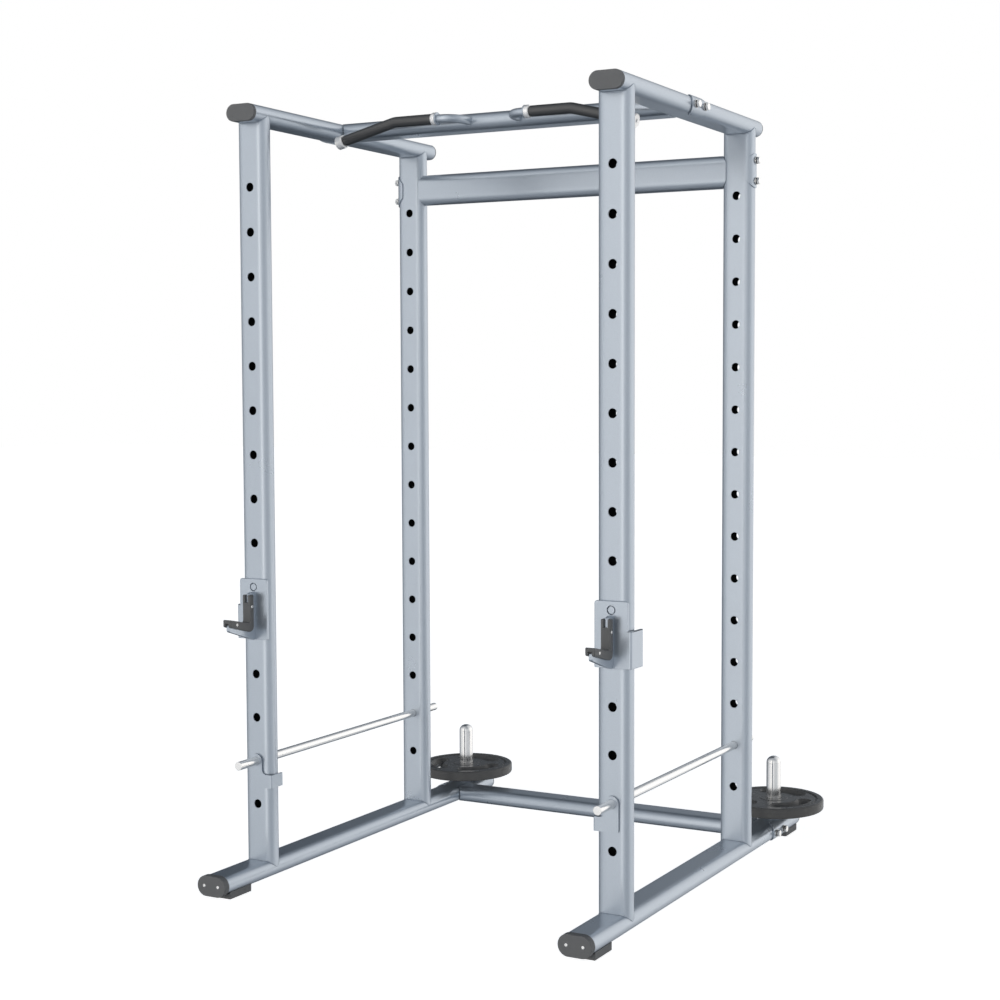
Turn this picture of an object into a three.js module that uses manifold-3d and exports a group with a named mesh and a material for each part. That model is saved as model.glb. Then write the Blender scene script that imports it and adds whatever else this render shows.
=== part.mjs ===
// Power cage: a welded and bolted frame of flat-oval steel tube with a pair of pull-up
// handles, two barbell hooks, two pin-located safety bars and a weight plate on each
// storage peg.
//
// Millimetres. +X is the right of someone who faces the cage, +Y runs to its rear, +Z is up.
// The origin is on the floor, under the middle of the whole object's box.

import * as THREE from 'three';
import { mergeVertices } from 'three/addons/utils/BufferGeometryUtils.js';
import Module from 'manifold-3d';

const wasm = await Module();
wasm.setup();

// ---------------------------------------------------------------- driving sizes

const GAP = 0.3; // between pieces that are welded, bolted or pushed together
// Facets of a full round, and of a quarter round for arc.
const facets = {
  arc: 3, bend: 2, rim: 2, dome: 4, hex: 6, tube: 12, hole: 8, washer: 8, shank: 6, turned: 14, plate: 28,
  tongue: 24,
};

const cage = { width: 1180, depth: 845, height: 2290 }; // upright centres; floor to top
const tube = { wide: 100, thick: 50, wall: 3 }; // flat-oval section
const bottomRail = { clear: 15, front: 245, rear: 435 }; // over the floor; past the uprights, caps included
const topRail = { overhang: 66 }; // past the uprights' centres, caps included
const rearBeam = { drop: 135 }; // its centre under the top rails' centre
const baseBeam = { behind: 243 }; // its centre behind the rear uprights' centre

const holes = { pitch: 130, diameter: 26, first: 235, clearTop: 180, play: 2 }; // play round a pin or a bar

const joint = { boltHalfPitch: 31, plate: 8, plateMargin: 1.5 }; // threaded plate inside a beam's end
const saddle = { length: 104, thick: 3.5 };
const bolt = {
  shank: 12, play: 1.5, length: 120, washer: 24, washerThick: 2.5,
  spring: 21, springThick: 3, acrossFlats: 18.5, head: 7.5,
};

const topCap = { thick: 12, round: 3 };
const footCap = { thick: 20, round: 4, extra: 5, screwReach: 24.5 }; // extra height over the tube and under it
const capScrew = { head: 9.6, rise: 2, sunk: 1 };
const rearCap = { thick: 4, round: 1.5 };
const plug = { depth: 18, wall: 3 };
const footPad = { wide: 90, long: 96, lip: 7.4, round: 3, inset: 10.5 }; // lip over the rail's underside

const peg = { diameter: 48, tall: 200, behind: 323, seam: 21, seamCut: 0.8 };
const stop = { lip: 12, thick: 8, top: 28 }; // ring round a peg that a weight plate rests on
const weight = {
  radius: 163.5, thick: 34, play: 3.2, rim: 20, rimRound: 7, groove: 2.5, grooveWide: 6,
  hub: 44, hubRise: 1.2, web: 1.8, slotInner: 85, slotOuter: 121, slotHalfAngle: 33, slots: 3,
};

const handle = {
  tube: 25, root: 85, reach: 125, bend: 62, kneeAt: 298.5, kneeRadius: 70, endAt: 504.5, endDrop: 50,
};
const flange = { at: 147, rise: 7, thick: 3.5 }; // rise over the handle's tube
const ring = { rise: 6.5, length: 14.5, small: 4.5, chamfer: 5 };
const grip = { wall: 3.5 };
const collar = { rise: 7.5, length: 24, face: 4, chamfer: 2, socket: 10, socketDepth: 3 };

const hook = {
  hole: 6, above: 22, below: 155, thick: 8, corner: 8, footCorner: 3,
  pinPast: 20, // the pin's end past the upright's back
  wingTop: 54, wingClear: 3, wingBack: 62, wingRound: 7, wingCorner: 8,
};
const liner = {
  wide: 29, web: 7, drop: 20, legBack: 17, face: 37, seatDrop: 102, tip: 126, tipTop: 83, tipBottom: 104,
  heelDrop: 127, heelFront: 40, heelRound: 16, seatRound: 10, edgeRound: 3, notchWide: 11, notchTall: 23,
};
// The blade rises over the liner's top, stops short of its tip and sweeps back under it.
const blade = {
  thick: 12, rise: 4, tipShort: 4, tipWeb: 9, tipTall: 26,
  noseRound: 9, crookRound: 6, edgeRound: 3, tipRound: 10, sweepRound: 60,
};

const safety = { hole: 2, ahead: 89, behind: 103 }; // past the uprights' outer faces
const lock = {
  thick: 5, wide: 50, top: 24, below: 78, tabTop: 39, tabClear: 0.5, tabBack: 48, fillet: 14,
  tabCorner: 8, bend: 6,
};

// ---------------------------------------------------------------- places that follow from them

const halfWide = tube.wide / 2;
const halfThick = tube.thick / 2;
const railTopOfFloor = bottomRail.clear + tube.thick;
const bottomRailZ = bottomRail.clear + halfThick;
const topRailZ = cage.height - halfThick;
const rearBeamZ = topRailZ - rearBeam.drop;
const sideX = cage.width / 2;

const rearReach = Math.max(bottomRail.rear, peg.behind + weight.radius);
const frontY = bottomRail.front - (bottomRail.front + cage.depth + rearReach) / 2;
const rearY = frontY + cage.depth;
const middleY = (frontY + rearY) / 2;
const baseBeamY = rearY + baseBeam.behind;
const pegY = rearY + peg.behind;
const frontFace = frontY - halfThick; // front of the front uprights

const topHoleLimit = topRailZ - halfThick - holes.clearTop;
const holeCount = Math.floor((topHoleLimit - holes.first) / holes.pitch) + 1;
const holeZ = (number) => holes.first + (number - 1) * holes.pitch; // numbered from the bottom
const hookZ = holeZ(hook.hole);
const safetyZ = holeZ(safety.hole);

const saddleOut = halfWide + GAP + saddle.thick; // from a tube's centre to a saddle's outer face
const pinDiameter = holes.diameter - holes.play; // hook pins and safety bars alike
const boltHole = bolt.shank + bolt.play;
const wingOut = halfWide + hook.wingClear + hook.thick; // outer face of a hook's wing
const tabOut = halfWide + lock.tabClear + lock.thick; // outer face of a locking plate's tab
const past = tube.wide; // how far a cutting solid runs past what it cuts

// ---------------------------------------------------------------- finishes

const finish = (color, roughness, metalness) =>
  new THREE.MeshStandardMaterial({ color, roughness, metalness });
const paint = () => finish(0xb2bac4, 0.38, 0.55);
const chrome = () => finish(0xdfe2e6, 0.12, 1);
const zinc = () => finish(0xd2d4d6, 0.28, 1);
const aluminium = () => finish(0xdcdedf, 0.3, 1);
const plastic = () => finish(0x686868, 0.55, 0);
const linerPlastic = () => finish(0x4a4a4a, 0.5, 0);
const rubber = () => finish(0x3b3c3d, 0.75, 0);
const castIron = () => finish(0x4b4b4d, 0.6, 0.2);

// ---------------------------------------------------------------- solids

/** A closed geometry as a solid that can be joined and cut. */
function solid(geometry) {
  const bare = geometry.clone();
  bare.deleteAttribute('normal');
  bare.deleteAttribute('uv');
  const merged = mergeVertices(bare);
  return new wasm.Manifold(new wasm.Mesh({
    numProp: 3,
    vertProperties: new Float32Array(merged.attributes.position.array),
    triVerts: new Uint32Array(merged.index.array),
  }));
}

/** A named mesh of a solid, in its finish. */
function piece(name, body, material) {
  const { vertProperties, triVerts } = body.getMesh();
  const geometry = new THREE.BufferGeometry();
  geometry.setAttribute('position', new THREE.BufferAttribute(vertProperties, 3));
  geometry.setIndex(new THREE.BufferAttribute(triVerts, 1));
  geometry.computeVertexNormals();
  const mesh = new THREE.Mesh(geometry, material);
  mesh.name = name;
  return mesh;
}

/** Places a mesh and returns it. */
function at(mesh, x, y, z) {
  mesh.position.set(x, y, z);
  return mesh;
}

/** A shape pushed along Z between two heights. Round stretches get 2 * segments facets each. */
function alongZ(shape, from, to, segments = facets.arc) {
  const geometry = new THREE.ExtrudeGeometry(shape, {
    depth: to - from, bevelEnabled: false, curveSegments: segments,
  });
  return geometry.translate(0, 0, from);
}

/** A shape drawn in X and Z, pushed along Y. */
function alongY(shape, from, to, segments = facets.arc) {
  const turn = new THREE.Matrix4().makeBasis(
    new THREE.Vector3(1, 0, 0), new THREE.Vector3(0, 0, 1), new THREE.Vector3(0, -1, 0),
  );
  return alongZ(shape, -to, -from, segments).applyMatrix4(turn);
}

/** A shape drawn in Y and Z, pushed along X. */
function alongX(shape, from, to, segments = facets.arc) {
  const turn = new THREE.Matrix4().makeBasis(
    new THREE.Vector3(0, 1, 0), new THREE.Vector3(0, 0, 1), new THREE.Vector3(1, 0, 0),
  );
  return alongZ(shape, from, to, segments).applyMatrix4(turn);
}

/** A round bar between two places on one axis: 'x', 'y' or 'z'. */
function bar(axis, diameter, from, to, sides) {
  const geometry = new THREE.CylinderGeometry(diameter / 2, diameter / 2, to - from, sides);
  geometry.translate(0, (from + to) / 2, 0);
  if (axis === 'x') geometry.rotateZ(-Math.PI / 2);
  if (axis === 'z') geometry.rotateX(Math.PI / 2);
  return geometry;
}

/** The corner radius of a many-sided bore whose flats clear a round of a given diameter. */
const clearRadius = (diameter, sides) => (diameter / 2 + GAP) / Math.cos(Math.PI / sides);

/** A closed profile of [radius, height] points turned about Z. */
function turned(points, sides) {
  const geometry = new THREE.LatheGeometry(points.map(([r, z]) => new THREE.Vector2(r, z)), sides);
  return geometry.rotateX(Math.PI / 2);
}

/** A flat oval: a rectangle whose two short sides are half rounds. */
function oval(alongU, alongV, grow = 0) {
  const radius = Math.min(alongU, alongV) / 2 + grow;
  const flat = Math.abs(alongU - alongV) / 2;
  const shape = new THREE.Shape();
  if (alongU >= alongV) {
    shape.absarc(flat, 0, radius, -Math.PI / 2, Math.PI / 2);
    shape.absarc(-flat, 0, radius, Math.PI / 2, 1.5 * Math.PI);
  } else {
    shape.absarc(0, flat, radius, 0, Math.PI);
    shape.absarc(0, -flat, radius, Math.PI, 2 * Math.PI);
  }
  return shape;
}

/** A closed outline of [u, v] corners, each rounded by its own radius (0 leaves it sharp). */
function outline(corners, radii) {
  const points = corners.map(([u, v]) => new THREE.Vector2(u, v));
  const shape = new THREE.Shape();
  points.forEach((corner, i) => {
    const before = points[(i + points.length - 1) % points.length];
    const after = points[(i + 1) % points.length];
    const reach = radii[i] * cornerReach(before, corner, after);
    const start = corner.clone().add(before.clone().sub(corner).setLength(reach));
    const end = corner.clone().add(after.clone().sub(corner).setLength(reach));
    if (i === 0) shape.moveTo(start.x, start.y);
    else shape.lineTo(start.x, start.y);
    if (reach > 0) shape.quadraticCurveTo(corner.x, corner.y, end.x, end.y);
  });
  shape.closePath();
  return shape;
}

/** How far from a corner a round of radius 1 starts. */
function cornerReach(before, corner, after) {
  const angle = before.clone().sub(corner).angleTo(after.clone().sub(corner));
  return 1 / Math.tan(angle / 2);
}

/** A flat oval tube section: the outline with the bore as a hole. */
function tubeSection(alongU, alongV) {
  const section = oval(alongU, alongV);
  section.holes.push(oval(alongU, alongV, -tube.wall));
  return section;
}

/** Cuts a list of geometries or solids from a solid. */
function cut(body, ...tools) {
  return tools.reduce((rest, tool) => rest.subtract(tool.isBufferGeometry ? solid(tool) : tool), body);
}

// ---------------------------------------------------------------- frame tubes

/** The outside of a rail with its gap, about the middle of an upright, at a height. */
function railCutter(z) {
  return alongY(oval(tube.wide, tube.thick, GAP), -past, past).translate(0, 0, z);
}

/** The outside of an upright with its gap, centred on its own axis. */
function uprightCutter() {
  return alongZ(oval(tube.wide, tube.thick, GAP), -past, past);
}

/** Two bolt holes through a tube along X, side by side along Y or one over the other. */
function boltHoles(axis, y, z) {
  return [-1, 1].map((side) => {
    const along = side * joint.boltHalfPitch;
    return bar('x', boltHole, -past, past, facets.hole)
      .translate(0, axis === 'y' ? y + along : y, axis === 'z' ? z + along : z);
  });
}

/** An upright, coped over the bottom rail and under the top rail, with its row of holes. */
function upright(name, isRear) {
  let body = solid(alongZ(tubeSection(tube.wide, tube.thick), bottomRailZ, topRailZ));
  body = cut(body, railCutter(bottomRailZ), railCutter(topRailZ));
  for (let number = 1; number <= holeCount; number += 1) {
    body = cut(body, bar('y', holes.diameter, -past, past, facets.hole)
      .translate(0, 0, holeZ(number)));
  }
  if (isRear) body = cut(body, ...boltHoles('z', 0, rearBeamZ));
  return piece(name, body, paint());
}

/** A rail along Y between its two caps; boltY is where a cross tube is bolted to it. */
function rail(name, from, to, boltY) {
  const body = solid(alongY(tubeSection(tube.wide, tube.thick), from, to));
  return piece(name, cut(body, ...boltHoles('y', boltY, 0)), paint());
}

/** The threaded plate that fills a cross tube just inside its coped end. */
function threadedPlate(wideY, wideZ, side) {
  const outer = sideX - halfWide - GAP - joint.plateMargin;
  const shape = oval(wideY, wideZ, -tube.wall / 2);
  const ends = [side * outer, side * (outer - joint.plate)].sort((a, b) => a - b);
  const plate = solid(alongX(shape, ends[0], ends[1]));
  return cut(plate, ...boltHoles(wideY > wideZ ? 'y' : 'z', 0, 0)
    .map((hole) => hole.translate(side * outer, 0, 0)));
}

/** A cross tube between two sides of the cage, coped to the tubes at its ends. */
function crossTube(name, wideY, wideZ, cutter) {
  let body = solid(alongX(tubeSection(wideY, wideZ), -sideX, sideX));
  for (const side of [-1, 1]) {
    body = cut(body, cutter().translate(side * sideX, 0, 0));
    body = body.add(threadedPlate(wideY, wideZ, side));
  }
  return piece(name, body, paint());
}

// ---------------------------------------------------------------- saddles and bolts

/** The half-round plate with round ends that wraps a tube's outer side; it runs along Y or Z. */
function saddlePlate(name, axis, side) {
  const inner = halfThick + GAP;
  const centre = side * (halfWide - halfThick);
  const half = -side * Math.PI / 2;
  const section = new THREE.Shape();
  section.absarc(centre, 0, inner + saddle.thick, half, half + Math.PI, false);
  section.absarc(centre, 0, inner, half + Math.PI, half, true);
  const push = axis === 'y' ? alongY : alongZ;
  const across = 2 * (inner + saddle.thick);
  const ends = axis === 'y' ? oval(saddle.length, across) : oval(across, saddle.length);
  const body = solid(push(section, -saddle.length / 2, saddle.length / 2))
    .intersect(solid(alongX(ends, -past, past)));
  return piece(name, cut(body, ...boltHoles(axis, 0, 0)), paint());
}

/** A hexagon bolt with its flat and spring washers, its head outward along X. */
function hexBolt(name, side) {
  const seat = saddleOut + GAP;
  const washerOut = seat + bolt.washerThick;
  const springOut = washerOut + bolt.springThick;
  const headOut = springOut + bolt.head;
  const corner = bolt.acrossFlats / Math.cos(Math.PI / 6);
  let body = solid(bar('x', bolt.washer, seat, washerOut, facets.washer));
  body = body.add(solid(bar('x', bolt.spring, washerOut - GAP, springOut, facets.washer)));
  body = body.add(solid(bar('x', corner, springOut - GAP, headOut, facets.hex)));
  body = body.add(solid(bar('x', bolt.shank, seat - bolt.length, seat + GAP, facets.shank)));
  const mesh = piece(name, body, zinc());
  if (side < 0) mesh.rotation.z = Math.PI;
  return mesh;
}

// ---------------------------------------------------------------- caps and foot pads

/** A moulded end cap: a rounded face over the tube's end, a hollow plug inside it, and its screw heads. */
function endCap(name, size, outward) {
  const tall = tube.thick + (size.extra ?? 0) * 2;
  const wide = Math.max(tube.wide, tall);
  const face = oval(wide, tall, -size.round);
  const rounded = new THREE.ExtrudeGeometry(face, {
    depth: size.thick, bevelThickness: size.round, bevelSize: size.round, bevelSegments: 1,
    curveSegments: facets.arc,
  }).translate(0, 0, -size.round);
  const keep = alongZ(oval(wide, tall, size.round), 0, size.thick + size.round);
  const stem = oval(tube.wide, tube.thick, -tube.wall - GAP);
  stem.holes.push(oval(tube.wide, tube.thick, -tube.wall - GAP - plug.wall));
  let body = solid(rounded).intersect(solid(keep)).add(solid(alongZ(stem, -plug.depth, size.round)));
  for (const side of size.screwReach ? [-1, 1] : []) {
    const [from, to] = [size.thick - capScrew.sunk, size.thick + capScrew.rise];
    const head = bar('z', capScrew.head, from, to, facets.washer);
    body = body.add(solid(head.translate(side * size.screwReach, 0, 0)));
  }
  const mesh = piece(name, body, plastic());
  mesh.rotation.x = outward < 0 ? Math.PI / 2 : -Math.PI / 2;
  return mesh;
}

/** A moulded foot that cradles the underside of a bottom rail. */
function pad(name, from, to) {
  const half = footPad.wide / 2;
  const tall = bottomRail.clear + footPad.lip;
  const block = outline(
    [[-half, 0], [half, 0], [half, tall], [-half, tall]], [footPad.round, footPad.round, 0, 0],
  );
  const cradle = alongY(oval(tube.wide, tube.thick, GAP), from - GAP, to + GAP).translate(0, 0, bottomRailZ);
  return piece(name, cut(solid(alongY(block, from, to)), cradle), plastic());
}

// ---------------------------------------------------------------- plate storage

/** A storage peg with its stop collar and a domed end, standing on a bottom rail. */
function storagePeg(name) {
  const r = peg.diameter / 2;
  const stopOut = r + stop.lip;
  const profile = [
    [0, 0], [r, 0], [r, stop.top - stop.thick], [stopOut, stop.top - stop.thick],
    [stopOut, stop.top - GAP], [r, stop.top - GAP],
    [r, peg.tall - peg.seam - peg.seamCut], [r - peg.seamCut, peg.tall - peg.seam - peg.seamCut / 2],
    [r, peg.tall - peg.seam],
  ];
  const steps = facets.dome;
  for (let step = 1; step <= steps; step += 1) {
    const angle = (step / steps) * Math.PI / 2;
    const out = step === steps ? 0 : r * Math.cos(angle);
    profile.push([out, peg.tall - peg.seam + peg.seam * Math.sin(angle)]);
  }
  return piece(name, solid(turned(profile, facets.turned)), chrome());
}

/** One kidney-shaped grip opening of a weight plate, centred on +X. */
function gripOpening() {
  const half = THREE.MathUtils.degToRad(weight.slotHalfAngle);
  const middle = (weight.slotInner + weight.slotOuter) / 2;
  const end = (weight.slotOuter - weight.slotInner) / 2;
  const shape = new THREE.Shape();
  shape.absarc(0, 0, weight.slotOuter, -half, half, false);
  shape.absarc(middle * Math.cos(half), middle * Math.sin(half), end, half, half + Math.PI, false);
  shape.absarc(0, 0, weight.slotInner, half, -half, true);
  shape.absarc(middle * Math.cos(half), -middle * Math.sin(half), end, -half - Math.PI, -half, false);
  return shape;
}

/** A weight plate: rounded rim, sunk web, hub with its bore, and grip openings. */
function weightPlate(name) {
  const { radius, thick, rimRound: round, rim, groove, grooveWide, hub, hubRise, web, play } = weight;
  const high = thick / 2;
  const bore = (peg.diameter + play) / 2;
  const profile = [
    [bore, high - web + hubRise], [hub, high - web + hubRise], [hub + hubRise, high - web],
    [radius - rim - grooveWide, high - web], [radius - rim, high - web - groove], [radius - rim, high],
  ];
  const steps = facets.rim;
  for (let step = 0; step <= steps; step += 1) {
    const angle = (step / steps) * Math.PI / 2;
    profile.push([radius - round + round * Math.sin(angle), high - round + round * Math.cos(angle)]);
  }
  const lower = profile.map(([r, z]) => [r, -z]).reverse();
  const closed = [...profile, ...lower, profile[0]].reverse();
  let body = solid(turned(closed, facets.plate));
  for (let slot = 0; slot < weight.slots; slot += 1) {
    const turn = Math.PI / 2 + slot * 2 * Math.PI / weight.slots;
    body = cut(body, alongZ(gripOpening(), -thick, thick).rotateZ(turn));
  }
  return piece(name, body, castIron());
}

// ---------------------------------------------------------------- pull-up handles

/** A path that gives each straight one step and each bend its own number of them. */
class SteppedPath extends THREE.CurvePath {
  counts = [];

  addSteps(curve, count) {
    this.add(curve);
    this.counts.push(count);
  }

  get steps() {
    return this.counts.reduce((sum, count) => sum + count, 0);
  }

  locate(u) {
    let place = u * this.steps;
    let index = 0;
    while (index < this.counts.length - 1 && place > this.counts[index]) {
      place -= this.counts[index];
      index += 1;
    }
    return [this.curves[index], place / this.counts[index]];
  }

  getPoint(u) {
    const [curve, t] = this.locate(u);
    return curve.getPointAt(t);
  }

  getTangentAt(u) {
    const [curve, t] = this.locate(u);
    return curve.getTangentAt(t);
  }
}

const bendStep = THREE.MathUtils.degToRad(15); // the most that one step of a bend turns

/** A path through points with a round bend of a given radius at each inner one. */
function bentPath(points, radii) {
  const path = new SteppedPath();
  let start = points[0];
  for (let i = 1; i < points.length - 1; i += 1) {
    const back = points[i - 1].clone().sub(points[i]).normalize();
    const ahead = points[i + 1].clone().sub(points[i]).normalize();
    const turn = Math.PI - back.angleTo(ahead);
    const reach = radii[i - 1] * Math.tan(turn / 2);
    const pull = reach - radii[i - 1] * (4 / 3) * Math.tan(turn / 4);
    const from = points[i].clone().addScaledVector(back, reach);
    const to = points[i].clone().addScaledVector(ahead, reach);
    path.addSteps(new THREE.LineCurve3(start, from), 1);
    path.addSteps(new THREE.CubicBezierCurve3(
      from, points[i].clone().addScaledVector(back, pull), points[i].clone().addScaledVector(ahead, pull), to,
    ), Math.ceil(turn / bendStep));
    start = to;
  }
  path.addSteps(new THREE.LineCurve3(start, points[points.length - 1]), 1);
  return path;
}

/** A round section, hollow when it has a bore radius, pushed along a path. */
function sweep(path, radius, bore = 0) {
  const section = new THREE.Shape();
  section.absarc(0, 0, radius, 0, 2 * Math.PI);
  if (bore > 0) {
    const hollow = new THREE.Path();
    hollow.absarc(0, 0, bore, 0, 2 * Math.PI);
    section.holes.push(hollow);
  }
  return new THREE.ExtrudeGeometry(section, {
    extrudePath: path, steps: path.steps, curveSegments: facets.tube / 2, bevelEnabled: false,
  });
}

// Places on a handle, from the crossmember's axis: the knee, and the end that hangs down from it.
const handleLine = {
  knee: new THREE.Vector3(handle.kneeAt, -handle.reach, 0),
  end: new THREE.Vector3(handle.endAt, -handle.reach, -handle.endDrop),
};

/** A point of the straight run past the knee, a distance short of the handle's end. */
function beforeEnd(distance) {
  const back = handleLine.knee.clone().sub(handleLine.end).normalize();
  return handleLine.end.clone().addScaledVector(back, distance);
}

/** A list of points mirrored to one side of the cage. */
const toSide = (points, side) => points.map((p) => new THREE.Vector3(side * p.x, p.y, p.z));

/** The painted handle tube: out of the crossmember, round to the side and through the grip. */
function handleTube(name, side) {
  const start = new THREE.Vector3(handle.root, -halfThick, 0);
  const corner = new THREE.Vector3(handle.root, -handle.reach, 0);
  const points = toSide([start, corner, handleLine.knee, beforeEnd(collar.face + GAP)], side);
  let body = solid(sweep(bentPath(points, [handle.bend, handle.kneeRadius]), handle.tube / 2));
  const rim = [side * flange.at, side * (flange.at + flange.thick)].sort((a, b) => a - b);
  const disc = bar('x', handle.tube + 2 * flange.rise, rim[0], rim[1], facets.turned);
  body = body.add(solid(disc.translate(0, -handle.reach, 0)));
  body = cut(body, alongX(oval(tube.wide, tube.thick, GAP), -cage.width, cage.width));
  return piece(name, body, paint());
}

/** The rubber grip sleeve between the two collars of a handle. */
function handleGrip(name, side) {
  const from = new THREE.Vector3(flange.at + flange.thick + ring.length + 2 * GAP, -handle.reach, 0);
  const points = toSide([from, handleLine.knee, beforeEnd(collar.length + GAP)], side);
  const path = bentPath(points, [handle.kneeRadius]);
  const sleeve = sweep(path, handle.tube / 2 + grip.wall, clearRadius(handle.tube, facets.tube));
  return piece(name, solid(sleeve), rubber());
}

/** The aluminium ring between a handle's flange and its grip. */
function innerRing(name, side) {
  const bore = clearRadius(handle.tube, facets.turned);
  const large = handle.tube / 2 + ring.rise;
  const profile = [
    [bore, 0], [large, 0], [large, ring.length - ring.chamfer],
    [handle.tube / 2 + ring.small, ring.length], [bore, ring.length], [bore, 0],
  ];
  const mesh = piece(name, solid(turned(profile, facets.turned)), aluminium());
  mesh.rotation.y = side * Math.PI / 2;
  return mesh;
}

/** The aluminium collar that closes a handle's outer end, along the straight run past the knee. */
function outerCollar(name, side) {
  const bore = clearRadius(handle.tube, facets.turned);
  const r = handle.tube / 2 + collar.rise;
  const profile = [
    [0, -collar.socketDepth], [collar.socket / 2, -collar.socketDepth], [collar.socket / 2, 0],
    [r - collar.chamfer, 0], [r, -collar.chamfer], [r, -collar.length + collar.chamfer],
    [r - collar.chamfer, -collar.length], [bore, -collar.length], [bore, -collar.face], [0, -collar.face],
  ];
  const mesh = piece(name, solid(turned(profile.reverse(), facets.turned)), aluminium());
  const outward = handleLine.end.clone().sub(handleLine.knee);
  outward.x *= side;
  mesh.quaternion.setFromUnitVectors(new THREE.Vector3(0, 0, 1), outward.normalize());
  return mesh;
}

// ---------------------------------------------------------------- barbell hooks

// All heights of a hook are measured from its pin's axis; Y is 0 on the upright's front face.
const hookPlateBack = -GAP;

/** The outline of a hook's blade, in Y and Z: it fills the liner's channel and runs on below it. */
function bladeOutline(grow = 0) {
  const inside = hookPlateBack - hook.thick / 2;
  const nose = -(liner.face - liner.web) - grow;
  const tip = -(liner.tip - blade.tipShort) - grow;
  const tipTop = -(liner.tipTop + blade.tipWeb);
  const corners = [
    [inside, -liner.drop + blade.rise + grow], [nose, -liner.drop + blade.rise + grow],
    [nose, -liner.seatDrop - liner.web + grow], [tip, tipTop + grow], [tip, tipTop - blade.tipTall - grow],
    [-liner.heelFront, -hook.below - grow], [inside, -hook.below - grow],
  ];
  const { noseRound, crookRound, edgeRound, tipRound, sweepRound } = blade;
  return outline(corners, [0, noseRound, crookRound, edgeRound, tipRound, sweepRound, 0]);
}

/** A hook's steel bracket: plate, side wing, pin and blade, welded into one. */
function hookBracket(name, side) {
  const half = halfWide;
  const front = hookPlateBack - hook.thick;
  const plate = outline(
    [[-half, -hook.below], [half, -hook.below], [half, hook.above], [-half, hook.above]],
    [hook.footCorner, hook.footCorner, hook.corner, hook.corner],
  );
  const wingPlan = outline(
    [[side * (half - hook.thick), front], [side * wingOut, front], [side * wingOut, hook.wingBack],
      [side * (wingOut - hook.thick), hook.wingBack], [side * (wingOut - hook.thick), hookPlateBack],
      [side * (half - hook.thick), hookPlateBack]],
    [0, hook.wingRound, 0, 0, 0, 0],
  );
  const wingTop = -hook.wingTop;
  const wingFront = front - GAP;
  const wingSide = outline(
    [[wingFront, -hook.below], [hook.wingBack, -hook.below], [hook.wingBack, wingTop], [wingFront, wingTop]],
    [0, hook.wingCorner, hook.wingCorner, 0],
  );
  const wing = solid(alongZ(wingPlan, -hook.below, wingTop, facets.bend))
    .intersect(solid(alongX(wingSide, -cage.width, cage.width, facets.bend)));
  const pin = bar('y', pinDiameter, front + hook.thick / 2, tube.thick + hook.pinPast, facets.hole);
  const rib = alongX(bladeOutline(), -blade.thick / 2, blade.thick / 2);
  const body = solid(alongY(plate, front, hookPlateBack)).add(wing).add(solid(pin)).add(solid(rib));
  return piece(name, body, paint());
}

/** A hook's moulded liner: a channel over the blade that the barbell rests in. */
function hookLiner(name) {
  const edge = liner.edgeRound;
  const seat = liner.seatRound;
  const corners = [
    [-liner.legBack, -liner.drop], [-liner.face, -liner.drop], [-liner.face, -liner.seatDrop],
    [-liner.tip, -liner.tipTop], [-liner.tip, -liner.tipBottom],
    [-liner.heelFront, -liner.heelDrop], [-liner.legBack, -liner.heelDrop],
  ];
  const body = solid(alongX(
    outline(corners, [edge, edge, seat, edge, edge, seat, liner.heelRound]),
    -liner.wide / 2, liner.wide / 2,
  ));
  const slot = alongX(bladeOutline(GAP), -blade.thick / 2 - GAP, blade.thick / 2 + GAP);
  const topNotch = new THREE.BoxGeometry(liner.notchWide, liner.face, liner.notchTall)
    .translate(0, -liner.face, -liner.drop - liner.notchTall / 2);
  return piece(name, cut(body, slot, topNotch), linerPlastic());
}

// ---------------------------------------------------------------- safety bars

/** A safety bar with its locking plate and side tab, seated on the upright's front face at Y = 0. */
function safetyBar(name, side) {
  const front = -GAP - lock.thick;
  const half = lock.wide / 2;
  const rear = cage.depth + tube.thick + safety.behind;
  const inner = -side;
  const face = outline(
    [[inner * lock.top, 0], [-inner * lock.top, 0], [-inner * half, -lock.tabTop],
      [-inner * half, -lock.below], [inner * half, -lock.below], [inner * half, -lock.tabTop]],
    [0, 0, 0, lock.tabCorner, 0, 0],
  );
  const roundTop = bar('y', 2 * lock.top, front, -GAP, facets.tongue);
  const tabShape = outline(
    [[inner * (half - GAP), -lock.below], [inner * tabOut, -lock.below], [inner * tabOut, -lock.tabTop],
      [inner * half, -lock.tabTop], [inner * half, -lock.tabTop + lock.fillet],
      [inner * (half - GAP), -lock.tabTop + lock.fillet]],
    [0, 0, 0, lock.fillet, 0, 0],
  );
  const bendPlan = outline(
    [[0, front], [inner * tabOut, front], [inner * tabOut, lock.tabBack],
      [inner * (tabOut - lock.thick), lock.tabBack], [inner * (tabOut - lock.thick), -GAP], [0, -GAP]],
    [0, lock.bend, 0, 0, 0, 0],
  );
  const tabSide = outline(
    [[front - GAP, -lock.below], [lock.tabBack, -lock.below], [lock.tabBack, -lock.tabTop],
      [front - GAP, lock.top]],
    [0, lock.tabCorner, lock.tabCorner / 2, 0],
  );
  const tab = solid(alongY(tabShape, front, lock.tabBack))
    .intersect(solid(alongZ(bendPlan, -lock.below, lock.top)))
    .intersect(solid(alongX(tabSide, -cage.width, cage.width)));
  const body = solid(alongY(face, front, -GAP)).add(solid(roundTop)).add(tab)
    .add(solid(bar('y', pinDiameter, -safety.ahead, rear, facets.hole)));
  return piece(name, body, chrome());
}

// ---------------------------------------------------------------- assembly

const powerCage = new THREE.Group();
powerCage.name = 'power_cage';

const sides = [['left', -1], ['right', 1]];

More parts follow.
